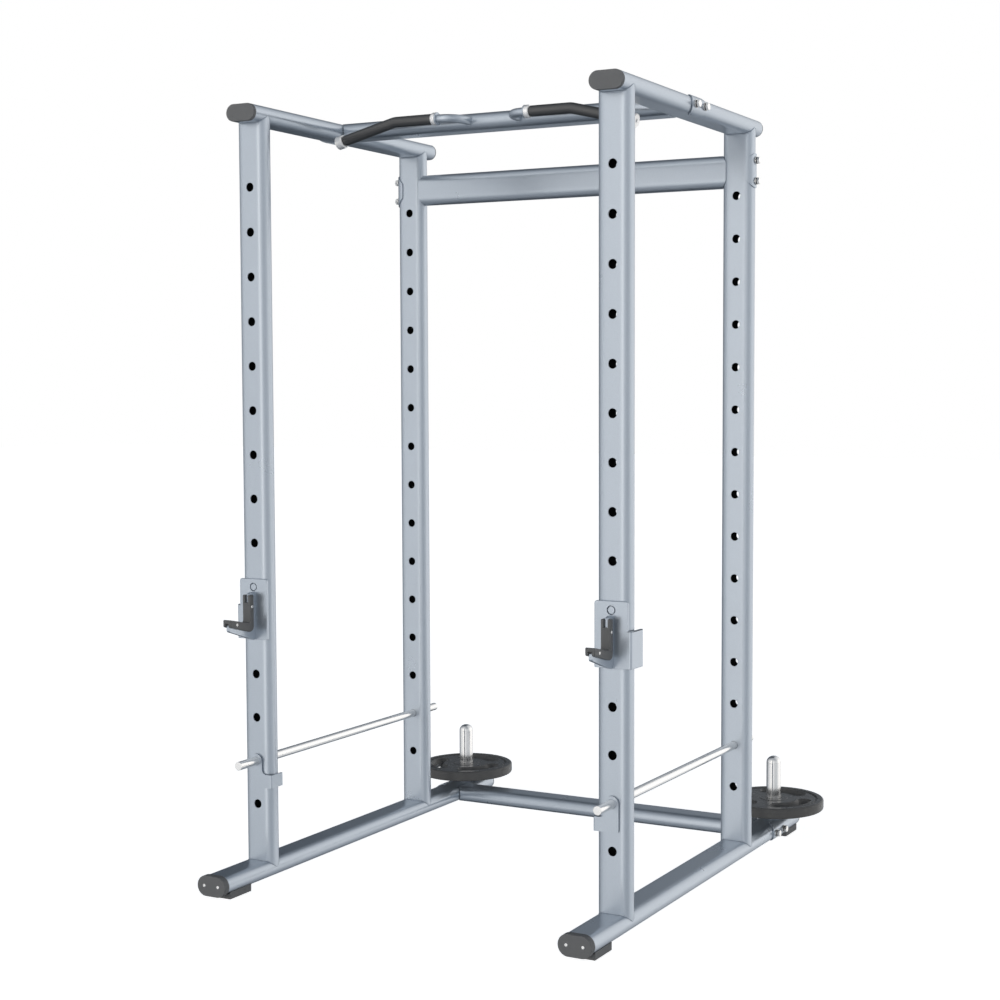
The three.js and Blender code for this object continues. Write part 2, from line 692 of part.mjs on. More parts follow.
for (const [sideName, side] of sides) {
  const x = side * sideX;

  // Uprights and rails.
  powerCage.add(at(upright(`${sideName}_front_upright`, false), x, frontY, 0));
  powerCage.add(at(upright(`${sideName}_rear_upright`, true), x, rearY, 0));

  const footFront = frontY - bottomRail.front + capScrew.rise + footCap.thick;
  const footRear = rearY + bottomRail.rear - rearCap.thick;
  const roofFront = frontY - topRail.overhang + topCap.thick;
  const roofRear = rearY + topRail.overhang - rearCap.thick;
  const bottom = rail(`${sideName}_bottom_rail`, footFront + GAP, footRear - GAP, baseBeamY);
  const roof = rail(`${sideName}_top_rail`, roofFront + GAP, roofRear - GAP, middleY);
  powerCage.add(at(bottom, x, 0, bottomRailZ), at(roof, x, 0, topRailZ));

  // Caps and foot pads.
  powerCage.add(at(endCap(`${sideName}_bottom_front_cap`, footCap, -1), x, footFront, bottomRailZ));
  powerCage.add(at(endCap(`${sideName}_bottom_rear_cap`, rearCap, 1), x, footRear, bottomRailZ));
  powerCage.add(at(endCap(`${sideName}_top_front_cap`, topCap, -1), x, roofFront, topRailZ));
  powerCage.add(at(endCap(`${sideName}_top_rear_cap`, rearCap, 1), x, roofRear, topRailZ));
  const padFront = footFront + footPad.inset;
  const padRear = footRear - footPad.inset;
  powerCage.add(at(pad(`${sideName}_front_foot_pad`, padFront, padFront + footPad.long), x, 0, 0));
  powerCage.add(at(pad(`${sideName}_rear_foot_pad`, padRear - footPad.long, padRear), x, 0, 0));

  // Bolted joints: where each saddle sits, and which way its length and its bolts run.
  const joints = [
    ['top', 'y', middleY, topRailZ], ['rear', 'z', rearY, rearBeamZ], ['base', 'y', baseBeamY, bottomRailZ],
  ];
  for (const [jointName, axis, y, z] of joints) {
    powerCage.add(at(saddlePlate(`${sideName}_${jointName}_saddle`, axis, side), x, y, z));
    for (const [boltName, along] of [['a', -joint.boltHalfPitch], ['b', joint.boltHalfPitch]]) {
      const mesh = hexBolt(`${sideName}_${jointName}_bolt_${boltName}`, side);
      powerCage.add(at(mesh, x, axis === 'y' ? y + along : y, axis === 'z' ? z + along : z));
    }
  }

  // Plate storage.
  powerCage.add(at(storagePeg(`${sideName}_storage_peg`), x, pegY, railTopOfFloor + GAP));
  powerCage.add(at(
    weightPlate(`${sideName}_weight_plate`), x, pegY, railTopOfFloor + stop.top + GAP + weight.thick / 2,
  ));

  // Pull-up handle.
  powerCage.add(at(handleTube(`${sideName}_handle_tube`, side), 0, middleY, topRailZ));
  powerCage.add(at(handleGrip(`${sideName}_handle_grip`, side), 0, middleY, topRailZ));
  const ringX = side * (flange.at + flange.thick + GAP);
  powerCage.add(at(innerRing(`${sideName}_handle_ring`, side), ringX, middleY - handle.reach, topRailZ));
  powerCage.add(at(
    outerCollar(`${sideName}_handle_collar`, side),
    side * handleLine.end.x, middleY + handleLine.end.y, topRailZ + handleLine.end.z,
  ));

  // Barbell hook and safety bar, each located by the uprights' holes.
  powerCage.add(at(hookBracket(`${sideName}_hook_bracket`, side), x, frontFace, hookZ));
  powerCage.add(at(hookLiner(`${sideName}_hook_liner`), x, frontFace, hookZ));
  powerCage.add(at(safetyBar(`${sideName}_safety_bar`, side), x, frontFace, safetyZ));
}

// Cross tubes.
powerCage.add(at(
  crossTube('top_crossmember', tube.wide, tube.thick, () => railCutter(0)), 0, middleY, topRailZ,
));
powerCage.add(at(
  crossTube('rear_upper_beam', tube.thick, tube.wide, uprightCutter), 0, rearY, rearBeamZ,
));
powerCage.add(at(
  crossTube('rear_base_beam', tube.wide, tube.thick, () => railCutter(0)), 0, baseBeamY, bottomRailZ,
));

export default powerCage;
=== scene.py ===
"""Looks of a power cage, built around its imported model.

Everything is in metres in the model's frame: +X is the right of someone who faces the cage,
+Y runs to its rear, +Z is up, and the floor is at 0. Each sub-assembly is a class that holds its
sizes, takes its place from the model's nodes, builds its surfaces as arrays and dresses them.
"""

import logging
import math
from collections.abc import Sequence
from dataclasses import dataclass, field
from enum import Enum

import bmesh
import bpy
import numpy as np
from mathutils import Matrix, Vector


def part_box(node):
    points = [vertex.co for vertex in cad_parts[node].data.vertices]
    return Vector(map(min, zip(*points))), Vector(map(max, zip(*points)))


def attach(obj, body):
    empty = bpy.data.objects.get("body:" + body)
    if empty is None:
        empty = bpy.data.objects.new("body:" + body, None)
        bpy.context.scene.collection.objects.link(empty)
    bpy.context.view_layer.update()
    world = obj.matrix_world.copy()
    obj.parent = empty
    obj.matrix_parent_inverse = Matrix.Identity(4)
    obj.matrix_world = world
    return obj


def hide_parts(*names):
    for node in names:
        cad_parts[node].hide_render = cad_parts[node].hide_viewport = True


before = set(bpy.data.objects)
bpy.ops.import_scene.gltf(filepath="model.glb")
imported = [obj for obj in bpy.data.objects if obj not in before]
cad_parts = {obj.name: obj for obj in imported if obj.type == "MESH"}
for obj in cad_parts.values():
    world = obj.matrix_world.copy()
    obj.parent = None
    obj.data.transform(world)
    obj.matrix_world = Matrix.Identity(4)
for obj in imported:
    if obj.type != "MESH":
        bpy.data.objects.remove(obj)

log = logging.getLogger("power_cage")

Grid = np.ndarray
Outline = tuple[Grid, Grid]
Vec = tuple[float, float, float]
Stops = tuple[tuple[float, float], ...]
Socket = bpy.types.NodeSocket
Value = Socket | float | tuple[float, ...]

MM = 0.001
GAP = 0.3 * MM  # left between pieces that touch
HAIR = 0.1 * MM  # the round of an edge that is left sharp
BROKEN = 0.3 * MM  # the round of an edge that is only broken
MERGE = 2e-6  # points closer than this are one
SHORTEST = 1e-12  # a length that stands in for nought
QUARTER = math.pi / 2
FIXED = "root"  # the body of all that doesn't move


# ---------------------------------------------------------------- named choices


class Facing(Enum):
    """How a flat drawing stands: the directions that its u, v and w take."""

    FRONT = ((1, 0, 0), (0, 0, 1), (0, -1, 0))
    BACK = ((-1, 0, 0), (0, 0, 1), (0, 1, 0))
    TOP = ((1, 0, 0), (0, 1, 0), (0, 0, 1))
    RIGHT = ((0, 1, 0), (0, 0, 1), (1, 0, 0))
    LEFT = ((0, -1, 0), (0, 0, 1), (-1, 0, 0))

    def carry(self, grid: Grid, place: Sequence[float]) -> Grid:
        """Carries points of u, v and w to this facing, about a place.

        Args:
            grid: points whose last axis is u, v and w.
            place: where the drawing's origin goes.

        Returns:
            The points in the model's frame.
        """
        return grid @ np.array(self.value, float) + np.array(place, float)


class Side(Enum):
    """The two sides of the cage, by the sign of X."""

    LEFT = -1
    RIGHT = 1

    @property
    def word(self) -> str:
        """The side's name as the nodes have it."""
        return self.name.lower()

    @property
    def facing(self) -> Facing:
        """The facing whose w runs outward on this side."""
        return Facing[self.name]


class Slot(Enum):
    """The record's material slots."""

    PAINT = "frame_paint"
    CHROME = "chrome"
    ZINC = "fastener_zinc"
    ALUMINIUM = "aluminium"
    CAP = "cap_plastic"
    LINER = "liner_plastic"
    GRIP = "grip_rubber"
    PLATE = "plate_coating"


# ---------------------------------------------------------------- surfaces


class Skin:
    """Grids of points gathered into one mesh."""

    def __init__(self) -> None:
        """Starts with no points."""
        self._points: list[Grid] = []
        self._faces: list[list[int]] = []
        self._count = 0

    def grid(self, points: Grid, wrap: bool = True) -> "Skin":
        """Adds a grid of points as quads between neighbours.

        Args:
            points: rows by columns by 3, or a stack of such grids.
            wrap: whether the last column joins the first.

        Returns:
            This skin.
        """
        for rows in points.reshape(-1, *points.shape[-3:]):
            index = np.arange(rows.shape[0] * rows.shape[1]).reshape(rows.shape[:2]) + self._count
            if wrap:
                index = np.hstack([index, index[:, :1]])
            corners = [index[:-1, :-1], index[1:, :-1], index[1:, 1:], index[:-1, 1:]]
            self._faces += np.stack(corners, axis=-1).reshape(-1, 4).tolist()
            self._points.append(rows.reshape(-1, 3))
            self._count += rows.shape[0] * rows.shape[1]
        return self

    def loft(self, rows: Grid) -> "Skin":
        """Adds closed rings as a wall and shuts both its ends with a flat face.

        Args:
            rows: rings by points by 3.

        Returns:
            This skin.
        """
        first = self._count
        self.grid(rows)
        ring = np.arange(rows.shape[1])
        self._faces.append((ring[::-1] + first).tolist())
        self._faces.append((ring + self._count - rows.shape[1]).tolist())
        return self

    def made(self, name: str, crease: float = 32.0) -> bpy.types.Object:
        """Makes the object: doubles merged, faces turned outward, smooth up to a crease angle.

        Args:
            name: the piece's name.
            crease: the angle in degrees from which an edge stays sharp.

        Returns:
            The new object, at the origin.
        """
        mesh = bpy.data.meshes.new(name)
        mesh.from_pydata(np.vstack(self._points), [], self._faces)
        work = bmesh.new()
        work.from_mesh(mesh)
        bmesh.ops.remove_doubles(work, verts=work.verts, dist=MERGE)
        bmesh.ops.recalc_face_normals(work, faces=work.faces)
        work.to_mesh(mesh)
        work.free()
        mesh.shade_smooth()
        mesh.set_sharp_from_angle(angle=math.radians(crease))
        piece = bpy.data.objects.new(name, mesh)
        bpy.context.collection.objects.link(piece)
        return piece


def whole_turn(steps: int) -> Grid:
    """The angles of equal steps round a whole turn, from nought."""
    return np.arange(steps) * 2 * math.pi / steps


def flat_oval(length: float, height: float, arc: int = 16, flat: int = 8) -> Outline:
    """A flat oval and its outward normals, anticlockwise, long side along u.

    Formula: a half round of radius height / 2 about each end of a middle line that is
    length - height long, joined by straights in equal steps.

    Args:
        length: the size along u.
        height: the size along v.
        arc: steps in each half round.
        flat: steps in each straight.

    Returns:
        The points and their normals, each n by 2.
    """
    radius = height / 2
    reach = (length - height) / 2
    turn = np.linspace(-QUARTER, QUARTER, arc + 1)
    spoke = np.column_stack([np.cos(turn), np.sin(turn)])
    along = np.linspace(reach, -reach, flat + 1)[1:-1]
    straight = np.column_stack([along, np.full(flat - 1, radius)])
    half = np.vstack([spoke * radius + [reach, 0.0], straight])
    normals = np.vstack([spoke, np.tile([0.0, 1.0], (flat - 1, 1))])
    return np.vstack([half, -half]), np.vstack([normals, -normals])


def rounded(
    corners: Sequence[Sequence[float]], radii: Sequence[float], steps: int = 6, closed: bool = True
) -> Outline:
    """A polygon whose corners are arcs, with its outward normals.

    Formula: where two straights turn by a, the arc starts r * tan(a / 2) before the corner, and
    its points are its centre plus r times the outward normal as that turns from one straight's to
    the next's. A corner that turns inward has its centre outside.

    Args:
        corners: the corners, anticlockwise.
        radii: each corner's radius.
        steps: steps in each arc.
        closed: whether the last corner joins the first.

    Returns:
        The points and their normals, each n by 2.
    """
    points = np.array(corners, float)
    ahead = np.roll(points, -1, axis=0) - points
    ahead /= np.maximum(np.linalg.norm(ahead, axis=1, keepdims=True), SHORTEST)
    back = np.roll(ahead, 1, axis=0)
    if not closed:
        back[0], ahead[-1] = ahead[0], back[-1]
    cross = back[:, 0] * ahead[:, 1] - back[:, 1] * ahead[:, 0]
    turn = np.arctan2(cross, (back * ahead).sum(axis=1))
    size = np.array(radii, float)
    signed = np.where(turn >= 0, size, -size)[:, None]
    start = points - back * (size * np.tan(np.abs(turn) / 2))[:, None]
    normal = np.column_stack([back[:, 1], -back[:, 0]])
    centre = start - normal * signed
    share = np.linspace(0, 1, steps + 1)
    angle = np.arctan2(normal[:, 1], normal[:, 0])[:, None] + turn[:, None] * share
    spoke = np.stack([np.cos(angle), np.sin(angle)], axis=-1)
    arcs = centre[:, None] + signed[:, None] * spoke
    return arcs.reshape(-1, 2), spoke.reshape(-1, 2)


def spread(outline: Outline, spacing: float) -> Outline:
    """Adds points along an outline's straights, so that no step is longer than the spacing.

    Formula: each straight is cut into the fewest equal steps that are short enough. A new point's
    normal is its two neighbours' mixed by its share of the way, made one long again.

    Args:
        outline: the points and normals.
        spacing: the longest step.

    Returns:
        The denser points and normals.
    """
    points, normals = outline
    following = np.roll(points, -1, axis=0)
    length = np.linalg.norm(following - points, axis=1)
    count = np.maximum(1, np.ceil(length / spacing)).astype(int)
    index = np.repeat(np.arange(len(points)), count)
    share = (np.arange(count.sum()) - np.repeat(np.cumsum(count) - count, count)) / count[index]
    share = share[:, None]
    mixed = normals[index] * (1 - share) + np.roll(normals, -1, axis=0)[index] * share
    mixed /= np.linalg.norm(mixed, axis=1, keepdims=True)
    return points[index] * (1 - share) + following[index] * share, mixed


def slab(
    outline: Outline, low: float, high: float, edges: tuple[float | Grid, float | Grid],
    stations: Sequence[float] = (), steps: int = 4,
) -> Grid:
    """Rings of a slab between two heights of w, with a round edge at each.

    Formula: towards a face, the outline draws in by e * (1 - sin a) while w is e * (1 - cos a)
    from that face, with a from nought to a quarter turn.

    Args:
        outline: the points and normals.
        low: the lower face's w.
        high: the upper face's w.
        edges: the radius of the lower and of the upper edge, one for all points or one for each.
        stations: further heights that get a ring.
        steps: steps in each round edge.

    Returns:
        Rings by points by u, v and w.
    """
    points, normals = outline
    turn = np.linspace(0, QUARTER, steps + 1)[:, None]
    rise, draw = 1 - np.cos(turn), 1 - np.sin(turn)
    lower, upper = (np.broadcast_to(edge, len(points)) for edge in edges)
    level = np.array(stations, float)[:, None] + 0 * lower
    height = np.concatenate([low + lower * rise, level, (high - upper * rise)[::-1]])
    inset = np.concatenate([lower * draw, 0 * level, (upper * draw)[::-1]])
    rings = points[None] - normals[None] * inset[..., None]
    return np.concatenate([rings, height[..., None]], axis=2)


def turned(line: Grid, sides: int = 48) -> Grid:
    """A line of [radius, w] points turned about w.

    Formula: u = r cos t and v = r sin t, with t in equal steps.

    Args:
        line: n by 2 points.
        sides: columns round the turn.

    Returns:
        n by sides by u, v and w.
    """
    angle = whole_turn(sides)
    radius, height = line[:, :1], line[:, 1:]
    return np.stack([radius * np.cos(angle), radius * np.sin(angle), height + 0 * angle], axis=-1)


def profile(corners: Sequence[Sequence[float]], radii: Sequence[float], steps: int = 4) -> Grid:
    """The points of an open line whose corners are arcs."""
    return rounded(corners, radii, steps, closed=False)[0]


def closed_profile(corners: Sequence[Sequence[float]], radii: Sequence[float], steps: int) -> Grid:
    """The points of a closed line whose corners are arcs, with the first one again at the end."""
    points = rounded(corners, radii, steps)[0]
    return np.vstack([points, points[:1]])


def bent_path(
    points: Sequence[Sequence[float]], radius: float, steps: int, straight: int = 4
) -> Grid:
    """A line through three points with a round bend at the middle one.

    Formula: in the plane of its two straights the bend is its first point plus
    r * (sin t along the first straight + (1 - cos t) towards the second one's side).

    Args:
        points: one end, the corner, and the other end.
        radius: the bend's radius.
        steps: steps in the bend.
        straight: steps in each straight.

    Returns:
        n by 3 points.
    """
    before, corner, after = np.array(points, float)
    along = (corner - before) / np.linalg.norm(corner - before)
    onward = (after - corner) / np.linalg.norm(after - corner)
    turn = math.acos(float(along @ onward))
    inward = (onward - along * (along @ onward)) / math.sin(turn)
    begin = corner - along * radius * math.tan(turn / 2)
    angle = np.linspace(0, turn, steps + 1)[:, None]
    arc = begin + radius * (inward * (1 - np.cos(angle)) + along * np.sin(angle))
    first = before + (begin - before) * np.linspace(0, 1, straight, endpoint=False)[:, None]
    last = arc[-1] + (after - arc[-1]) * np.linspace(0, 1, straight + 1)[:, None]
    return np.vstack([first, arc[:-1], last])


def swept(path: Grid, radii: Grid, normals: Grid, sides: int = 32, closed: bool = False) -> Grid:
    """A round section carried along a path.

    Formula: each ring is the path's point plus r * (cos t * n + sin t * (d x n)), where d is the
    path's direction and n its normal, squared to d.

    Args:
        path: n by 3 points.
        radii: the section's radius at each point.
        normals: a direction at each point that is not along the path.
        sides: points round the section.
        closed: whether the path's last point joins its first.

    Returns:
        n by sides by 3 points.
    """
    if closed:
        forward = np.roll(path, -1, axis=0) - np.roll(path, 1, axis=0)
    else:
        forward = np.gradient(path, axis=0)
    forward = forward / np.linalg.norm(forward, axis=1, keepdims=True)
    across = normals - forward * (normals * forward).sum(axis=1, keepdims=True)
    across /= np.linalg.norm(across, axis=1, keepdims=True)
    third = np.cross(forward, across)
    angle = whole_turn(sides)[None, :, None]
    ring = np.cos(angle) * across[:, None] + np.sin(angle) * third[:, None]
    return path[:, None] + radii[:, None, None] * ring


def thicken(
    piece: bpy.types.Object, wall: float, lining: bool = False, rim: bool = False
) -> bpy.types.Object:
    """Gives a skin a wall of its own, inward.

    Args:
        piece: the piece.
        wall: the wall's thickness.
        lining: whether the inside takes the second material, a painted shade.
        rim: whether the cut edge takes the second material, a painted shade.

    Returns:
        The piece.
    """
    solid = piece.modifiers.new("wall", "SOLIDIFY")
    solid.thickness = wall
    solid.offset = -1
    solid.use_even_offset = True
    solid.use_quality_normals = True
    solid.material_offset = 1 if lining else 0
    solid.material_offset_rim = 1 if rim else 0
    return piece


def soften(
    piece: bpy.types.Object, width: float, segments: int = 2, angle: float = 38.0
) -> bpy.types.Object:
    """Rounds the edges that are sharper than an angle.

    Args:
        piece: the piece.
        width: how wide the rounding is.
        segments: steps across it.
        angle: the angle in degrees.

    Returns:
        The piece.
    """
    bevel = piece.modifiers.new("edges", "BEVEL")
    bevel.width = width
    bevel.segments = segments
    bevel.limit_method = "ANGLE"
    bevel.angle_limit = math.radians(angle)
    return piece


# ---------------------------------------------------------------- finishes


def feed(tree: bpy.types.NodeTree, socket: Socket, value: Value) -> None:
    """Feeds a node's input, from another socket or with a value.

    Args:
        tree: the node tree.
        socket: the input.
        value: the socket that feeds it, or its value.
    """
    if isinstance(value, Socket):
        tree.links.new(value, socket)
    else:
        socket.default_value = value


def maths(tree: bpy.types.NodeTree, operation: str, *values: Value) -> Socket:
    """Adds a Math node.

    Args:
        tree: the node tree.
        operation: what it does.
        values: what its inputs take, in order.

    Returns:
        Its result.
    """
    node = tree.nodes.new("ShaderNodeMath")
    node.operation = operation
    for socket, value in zip(node.inputs, values):
        feed(tree, socket, value)
    return node.outputs[0]


class Shader:
    """One material's nodes, added with few words."""

    def __init__(self, name: str) -> None:
        """Starts a material with its shader and the piece's own coordinates.

        Args:
            name: the material's name.
        """
        self.material = bpy.data.materials.new(name)
        self.material.use_nodes = True
        self.tree = self.material.node_tree
        self.shader = self.tree.nodes["Principled BSDF"]
        self.place = self.tree.nodes.new("ShaderNodeTexCoord").outputs["Object"]

    def node(self, kind: str, inputs: dict[str, Value]) -> bpy.types.Node:
        """Adds a node and feeds its inputs by name.

        Args:
            kind: the node's type.
            inputs: what each named input takes.

        Returns:
            The node.
        """
        node = self.tree.nodes.new(kind)
        for name, value in inputs.items():
            feed(self.tree, node.inputs[name], value)
        return node

    def give(self, name: str, value: Value) -> None:
        """Feeds one of the shader's own inputs."""
        feed(self.tree, self.shader.inputs[name], value)

    def noise(self, size: float, detail: float = 2.0, stretch: Vec = (1, 1, 1)) -> Socket:
        """Soft noise on the piece's coordinates.

        Args:
            size: about how far across its spots are.
            detail: how many finer layers it has.
            stretch: how the coordinates are stretched along the axes.

        Returns:
            The noise, from 0 to 1.
        """
        place = self.node("ShaderNodeMapping", {"Vector": self.place, "Scale": stretch})
        inputs = {"Vector": place.outputs["Vector"], "Scale": 1 / size, "Detail": detail}
        return self.node("ShaderNodeTexNoise", inputs).outputs["Fac"]

    def cells(self, size: float, output: str = "Distance") -> Socket:
        """Small cells of about a size, as their distance or their colour."""
        inputs = {"Vector": self.place, "Scale": 1 / size}
        return self.node("ShaderNodeTexVoronoi", inputs).outputs[output]

    def between(self, value: Socket, low: float, high: float) -> Socket:
        """The middle half of a noise's values carried to a range."""
        inputs = {"Value": value, "From Min": 0.25, "From Max": 0.75, "To Min": low, "To Max": high}
        return self.node("ShaderNodeMapRange", inputs).outputs["Result"]

    def tint(self, value: Socket, dark: Vec, light: Vec) -> Socket:
        """A colour between two, by a value.

        Args:
            value: from 0 for the dark colour to 1 for the light one.
            dark: the dark colour.
            light: the light colour.

        Returns:
            The colour.
        """
        mix = self.tree.nodes.new("ShaderNodeMix")
        mix.data_type = "RGBA"
        feed(self.tree, mix.inputs["Factor"], value)
        colours = [socket for socket in mix.inputs if socket.type == "RGBA"]
        colours[0].default_value = (*dark, 1)
        colours[1].default_value = (*light, 1)
        return next(socket for socket in mix.outputs if socket.type == "RGBA")

    def relief(self, height: Socket, depth: float) -> None:
        """Gives the surface a relief of a depth in metres."""
        bump = self.node("ShaderNodeBump", {"Height": height, "Distance": depth, "Strength": 1.0})
        self.give("Normal", bump.outputs["Normal"])


@dataclass(frozen=True)
class Finish:
    """A finish: its slot, its colour, how it varies, and how it shines.

    The colour goes from dark to light by the tone's share, over spots of the mottle's size. The
    shine goes between the two roughnesses. Grain and depth are the fine relief's size and height.
    """

    name: str
    slot: Slot
    colour: Vec
    metallic: float
    roughness: tuple[float, float]
    tone: float = 0.04
    mottle: float = 0.09
    grain: float = 0.0012
    depth: float = 0.00002
    coat: float = 0.0
    coat_roughness: float = 0.1
    specular: float = 0.5
    stretch: Vec = (1, 1, 1)

    def material(self) -> bpy.types.Material:
        """The finish's material, made once."""
        return bpy.data.materials.get(f"{self.name}_finish") or self.made()

    def made(self) -> bpy.types.Material:
        """Makes the material: a mottled colour, an uneven shine and a fine relief.

        Returns:
            The new material.
        """
        shader = Shader(f"{self.name}_finish")
        broad = shader.noise(self.mottle, 4.0)
        fine = shader.noise(self.grain, 2.0, self.stretch)
        dark = tuple(part * (1 - self.tone) for part in self.colour)
        light = tuple(min(1.0, part * (1 + self.tone)) for part in self.colour)
        shader.give("Base Color", shader.tint(self.shade(shader, broad), dark, light))
        shader.give("Roughness", shader.between(broad, *self.roughness))
        shader.give("Metallic", self.metallic)
        shader.give("Coat Weight", self.coat)
        shader.give("Coat Roughness", self.coat_roughness)
        shader.give("Specular IOR Level", self.specular)
        shader.relief(self.height(shader, fine), self.depth)
        return shader.material

    def shade(self, shader: Shader, broad: Socket) -> Socket:
        """What moves the colour between its dark and its light: here the slow mottling."""
        return broad

    def height(self, shader: Shader, fine: Socket) -> Socket:
        """What raises the surface: here the fine noise."""
        return fine


@dataclass(frozen=True)
class FlakePaint(Finish):
    """Metallic paint: bright flakes of their own tone, under a clear coat."""

    flake: float = 0.0007

    def shade(self, shader: Shader, broad: Socket) -> Socket:
        """Half the sum of the flakes' own tones and the slow mottling.

        Args:
            shader: the material's nodes.
            broad: the slow mottling.

        Returns:
            What moves the colour.
        """
        cells = shader.cells(self.flake, "Color")
        spots = shader.node("ShaderNodeSeparateColor", {"Color": cells}).outputs["Red"]
        return maths(shader.tree, "MULTIPLY", maths(shader.tree, "ADD", spots, broad), 0.5)


@dataclass(frozen=True)
class Moulded(Finish):
    """Moulded plastic or coating: a grain of small rounded cells."""

    def height(self, shader: Shader, fine: Socket) -> Socket:
        """What raises the surface: here the rounded cells of the mould's grain."""
        return shader.cells(self.grain)


PAINT = FlakePaint(
    "frame_paint", Slot.PAINT, (0.467, 0.515, 0.571), 0.68, (0.27, 0.31), tone=0.07, mottle=0.12,
    grain=0.003, depth=0.000005, coat=0.12, coat_roughness=0.18, specular=0.4, flake=0.0012,
)
# Darker paint for the locking plates' cut edges: painted shade of the gap between plate and
# upright.
SHADE_ON_EDGE = Finish(
    "paint_on_cut_edge", Slot.PAINT, (0.25, 0.29, 0.34), 0.5, (0.38, 0.46), tone=0.08,
)
# The tubes' bare inside, made near-black: painted shade of their dark interior seen through the
# holes.
INSIDE_SHADE = Finish(
    "tube_lining", Slot.PAINT, (0.012, 0.012, 0.013), 0.0, (0.75, 0.85), tone=0.3, specular=0.2,
)
CHROME = Finish(
    "chrome_plate", Slot.CHROME, (0.83, 0.825, 0.815), 0.88, (0.13, 0.19), tone=0.015,
    mottle=0.03, grain=0.002, depth=0.0000006,
)
ZINC = Finish(
    "bright_zinc", Slot.ZINC, (0.97, 0.955, 0.93), 0.7, (0.13, 0.19), tone=0.03, mottle=0.01,
    grain=0.0015, depth=0.000001,
)
# Near-black for the spring washers: painted shade of the dark gap between the flat washer and the
# head.
WASHER_SHADE = Finish(
    "blackened_steel", Slot.ZINC, (0.045, 0.045, 0.047), 0.3, (0.40, 0.50), tone=0.1, mottle=0.01,
)
ALUMINIUM = Finish(
    "turned_aluminium", Slot.ALUMINIUM, (0.97, 0.955, 0.935), 0.45, (0.26, 0.34), tone=0.02,
    mottle=0.006, grain=0.0006, depth=0.000001, stretch=(8, 1, 1),
)
CAP_PLASTIC = Moulded(
    "cap_plastic", Slot.CAP, (0.175, 0.175, 0.174), 0.0, (0.55, 0.65), tone=0.06, mottle=0.03,
    grain=0.0009, depth=0.00002, specular=0.1,
)
LINER_PLASTIC = Moulded(
    "liner_plastic", Slot.LINER, (0.128, 0.128, 0.126), 0.0, (0.38, 0.46), tone=0.08, mottle=0.02,
    grain=0.0008, depth=0.00002, specular=0.3,
)
GRIP_RUBBER = Moulded(
    "grip_rubber", Slot.GRIP, (0.04, 0.04, 0.04), 0.0, (0.27, 0.33), tone=0.06, mottle=0.02,
    grain=0.0011, depth=0.000012, specular=0.8,
)
PLATE_COATING = Moulded(
    "plate_coating", Slot.PLATE, (0.12, 0.117, 0.112), 0.0, (0.22, 0.30), tone=0.06, mottle=0.03,
    grain=0.0016, depth=0.000003, specular=0.14,
)


def dress(piece: bpy.types.Object, body: str, node: str, *finishes: Finish) -> None:
    """Finishes a piece: its materials, the body it rides on and the node it stands for.

    Its normals are weighted by area, so that flats stay flat beside their round edges.

    Args:
        piece: the piece.
        body: the moving or fixed body that it rides on.
        node: the model's node that it replaces.
        finishes: its finish, and a second one that paints the shade inside a tube or on a cut edge.
    """
    for finish in finishes:
        piece.data.materials.append(finish.material())
    weighted = piece.modifiers.new("shading", "WEIGHTED_NORMAL")
    weighted.keep_sharp = "edges" not in piece.modifiers
    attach(piece, body)
    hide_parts(node)


@dataclass(frozen=True)
class Place:
    """A node's box at rest."""

    low: Grid
    high: Grid

    @staticmethod
    def of(node: str) -> "Place":
        """The box of a node."""
        low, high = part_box(node)
        return Place(np.array(low), np.array(high))

    @property
    def middle(self) -> Grid:
        """The box's middle."""
        return (self.low + self.high) / 2

    def outer(self, side: Side) -> float:
        """The X of the box's outer face on a side of the cage."""
        return self.high[0] if side is Side.RIGHT else self.low[0]


# ---------------------------------------------------------------- the tubes


@dataclass
class TubeStock:
    """The flat-oval steel tube that the cage is built of."""

    wide: float = 100 * MM
    thick: float = 50 * MM
    wall: float = 3 * MM
    edge: float = 0.5 * MM

    @property
    def radius(self) -> float:
        """The radius of the half rounds."""
        return self.thick / 2

    @property
    def reach(self) -> float:
        """How far the half rounds' centres are from the tube's axis."""
        return (self.wide - self.thick) / 2

    def rise(self, across: Grid) -> Grid:
        """How far the outside of a crossing tube stands from its own axis.

        Formula: sqrt(R^2 - d^2), with R the round and its gap, and d how far |across| passes the
        round's centre.

        Args:
            across: places across the crossing tube, from its axis.

        Returns:
            The rise at each place.
        """
        radius = self.radius + GAP
        past = np.clip(np.abs(across) - self.reach, 0, radius)
        return np.sqrt(radius**2 - past**2)

    def finished(self, skin: Skin, node: str) -> None:
        """Makes a skin a node's tube: with its wall, soft edges, paint, and an inside of painted
        shade.

        Args:
            skin: the tube's outside.
            node: the node that it replaces.
        """
        # The inside takes the near-black finish: painted shade of the tube's dark interior.
        piece = thicken(skin.made(f"{node}_tube"), self.wall, lining=True)
        dress(soften(piece, self.edge), FIXED, node, PAINT, INSIDE_SHADE)


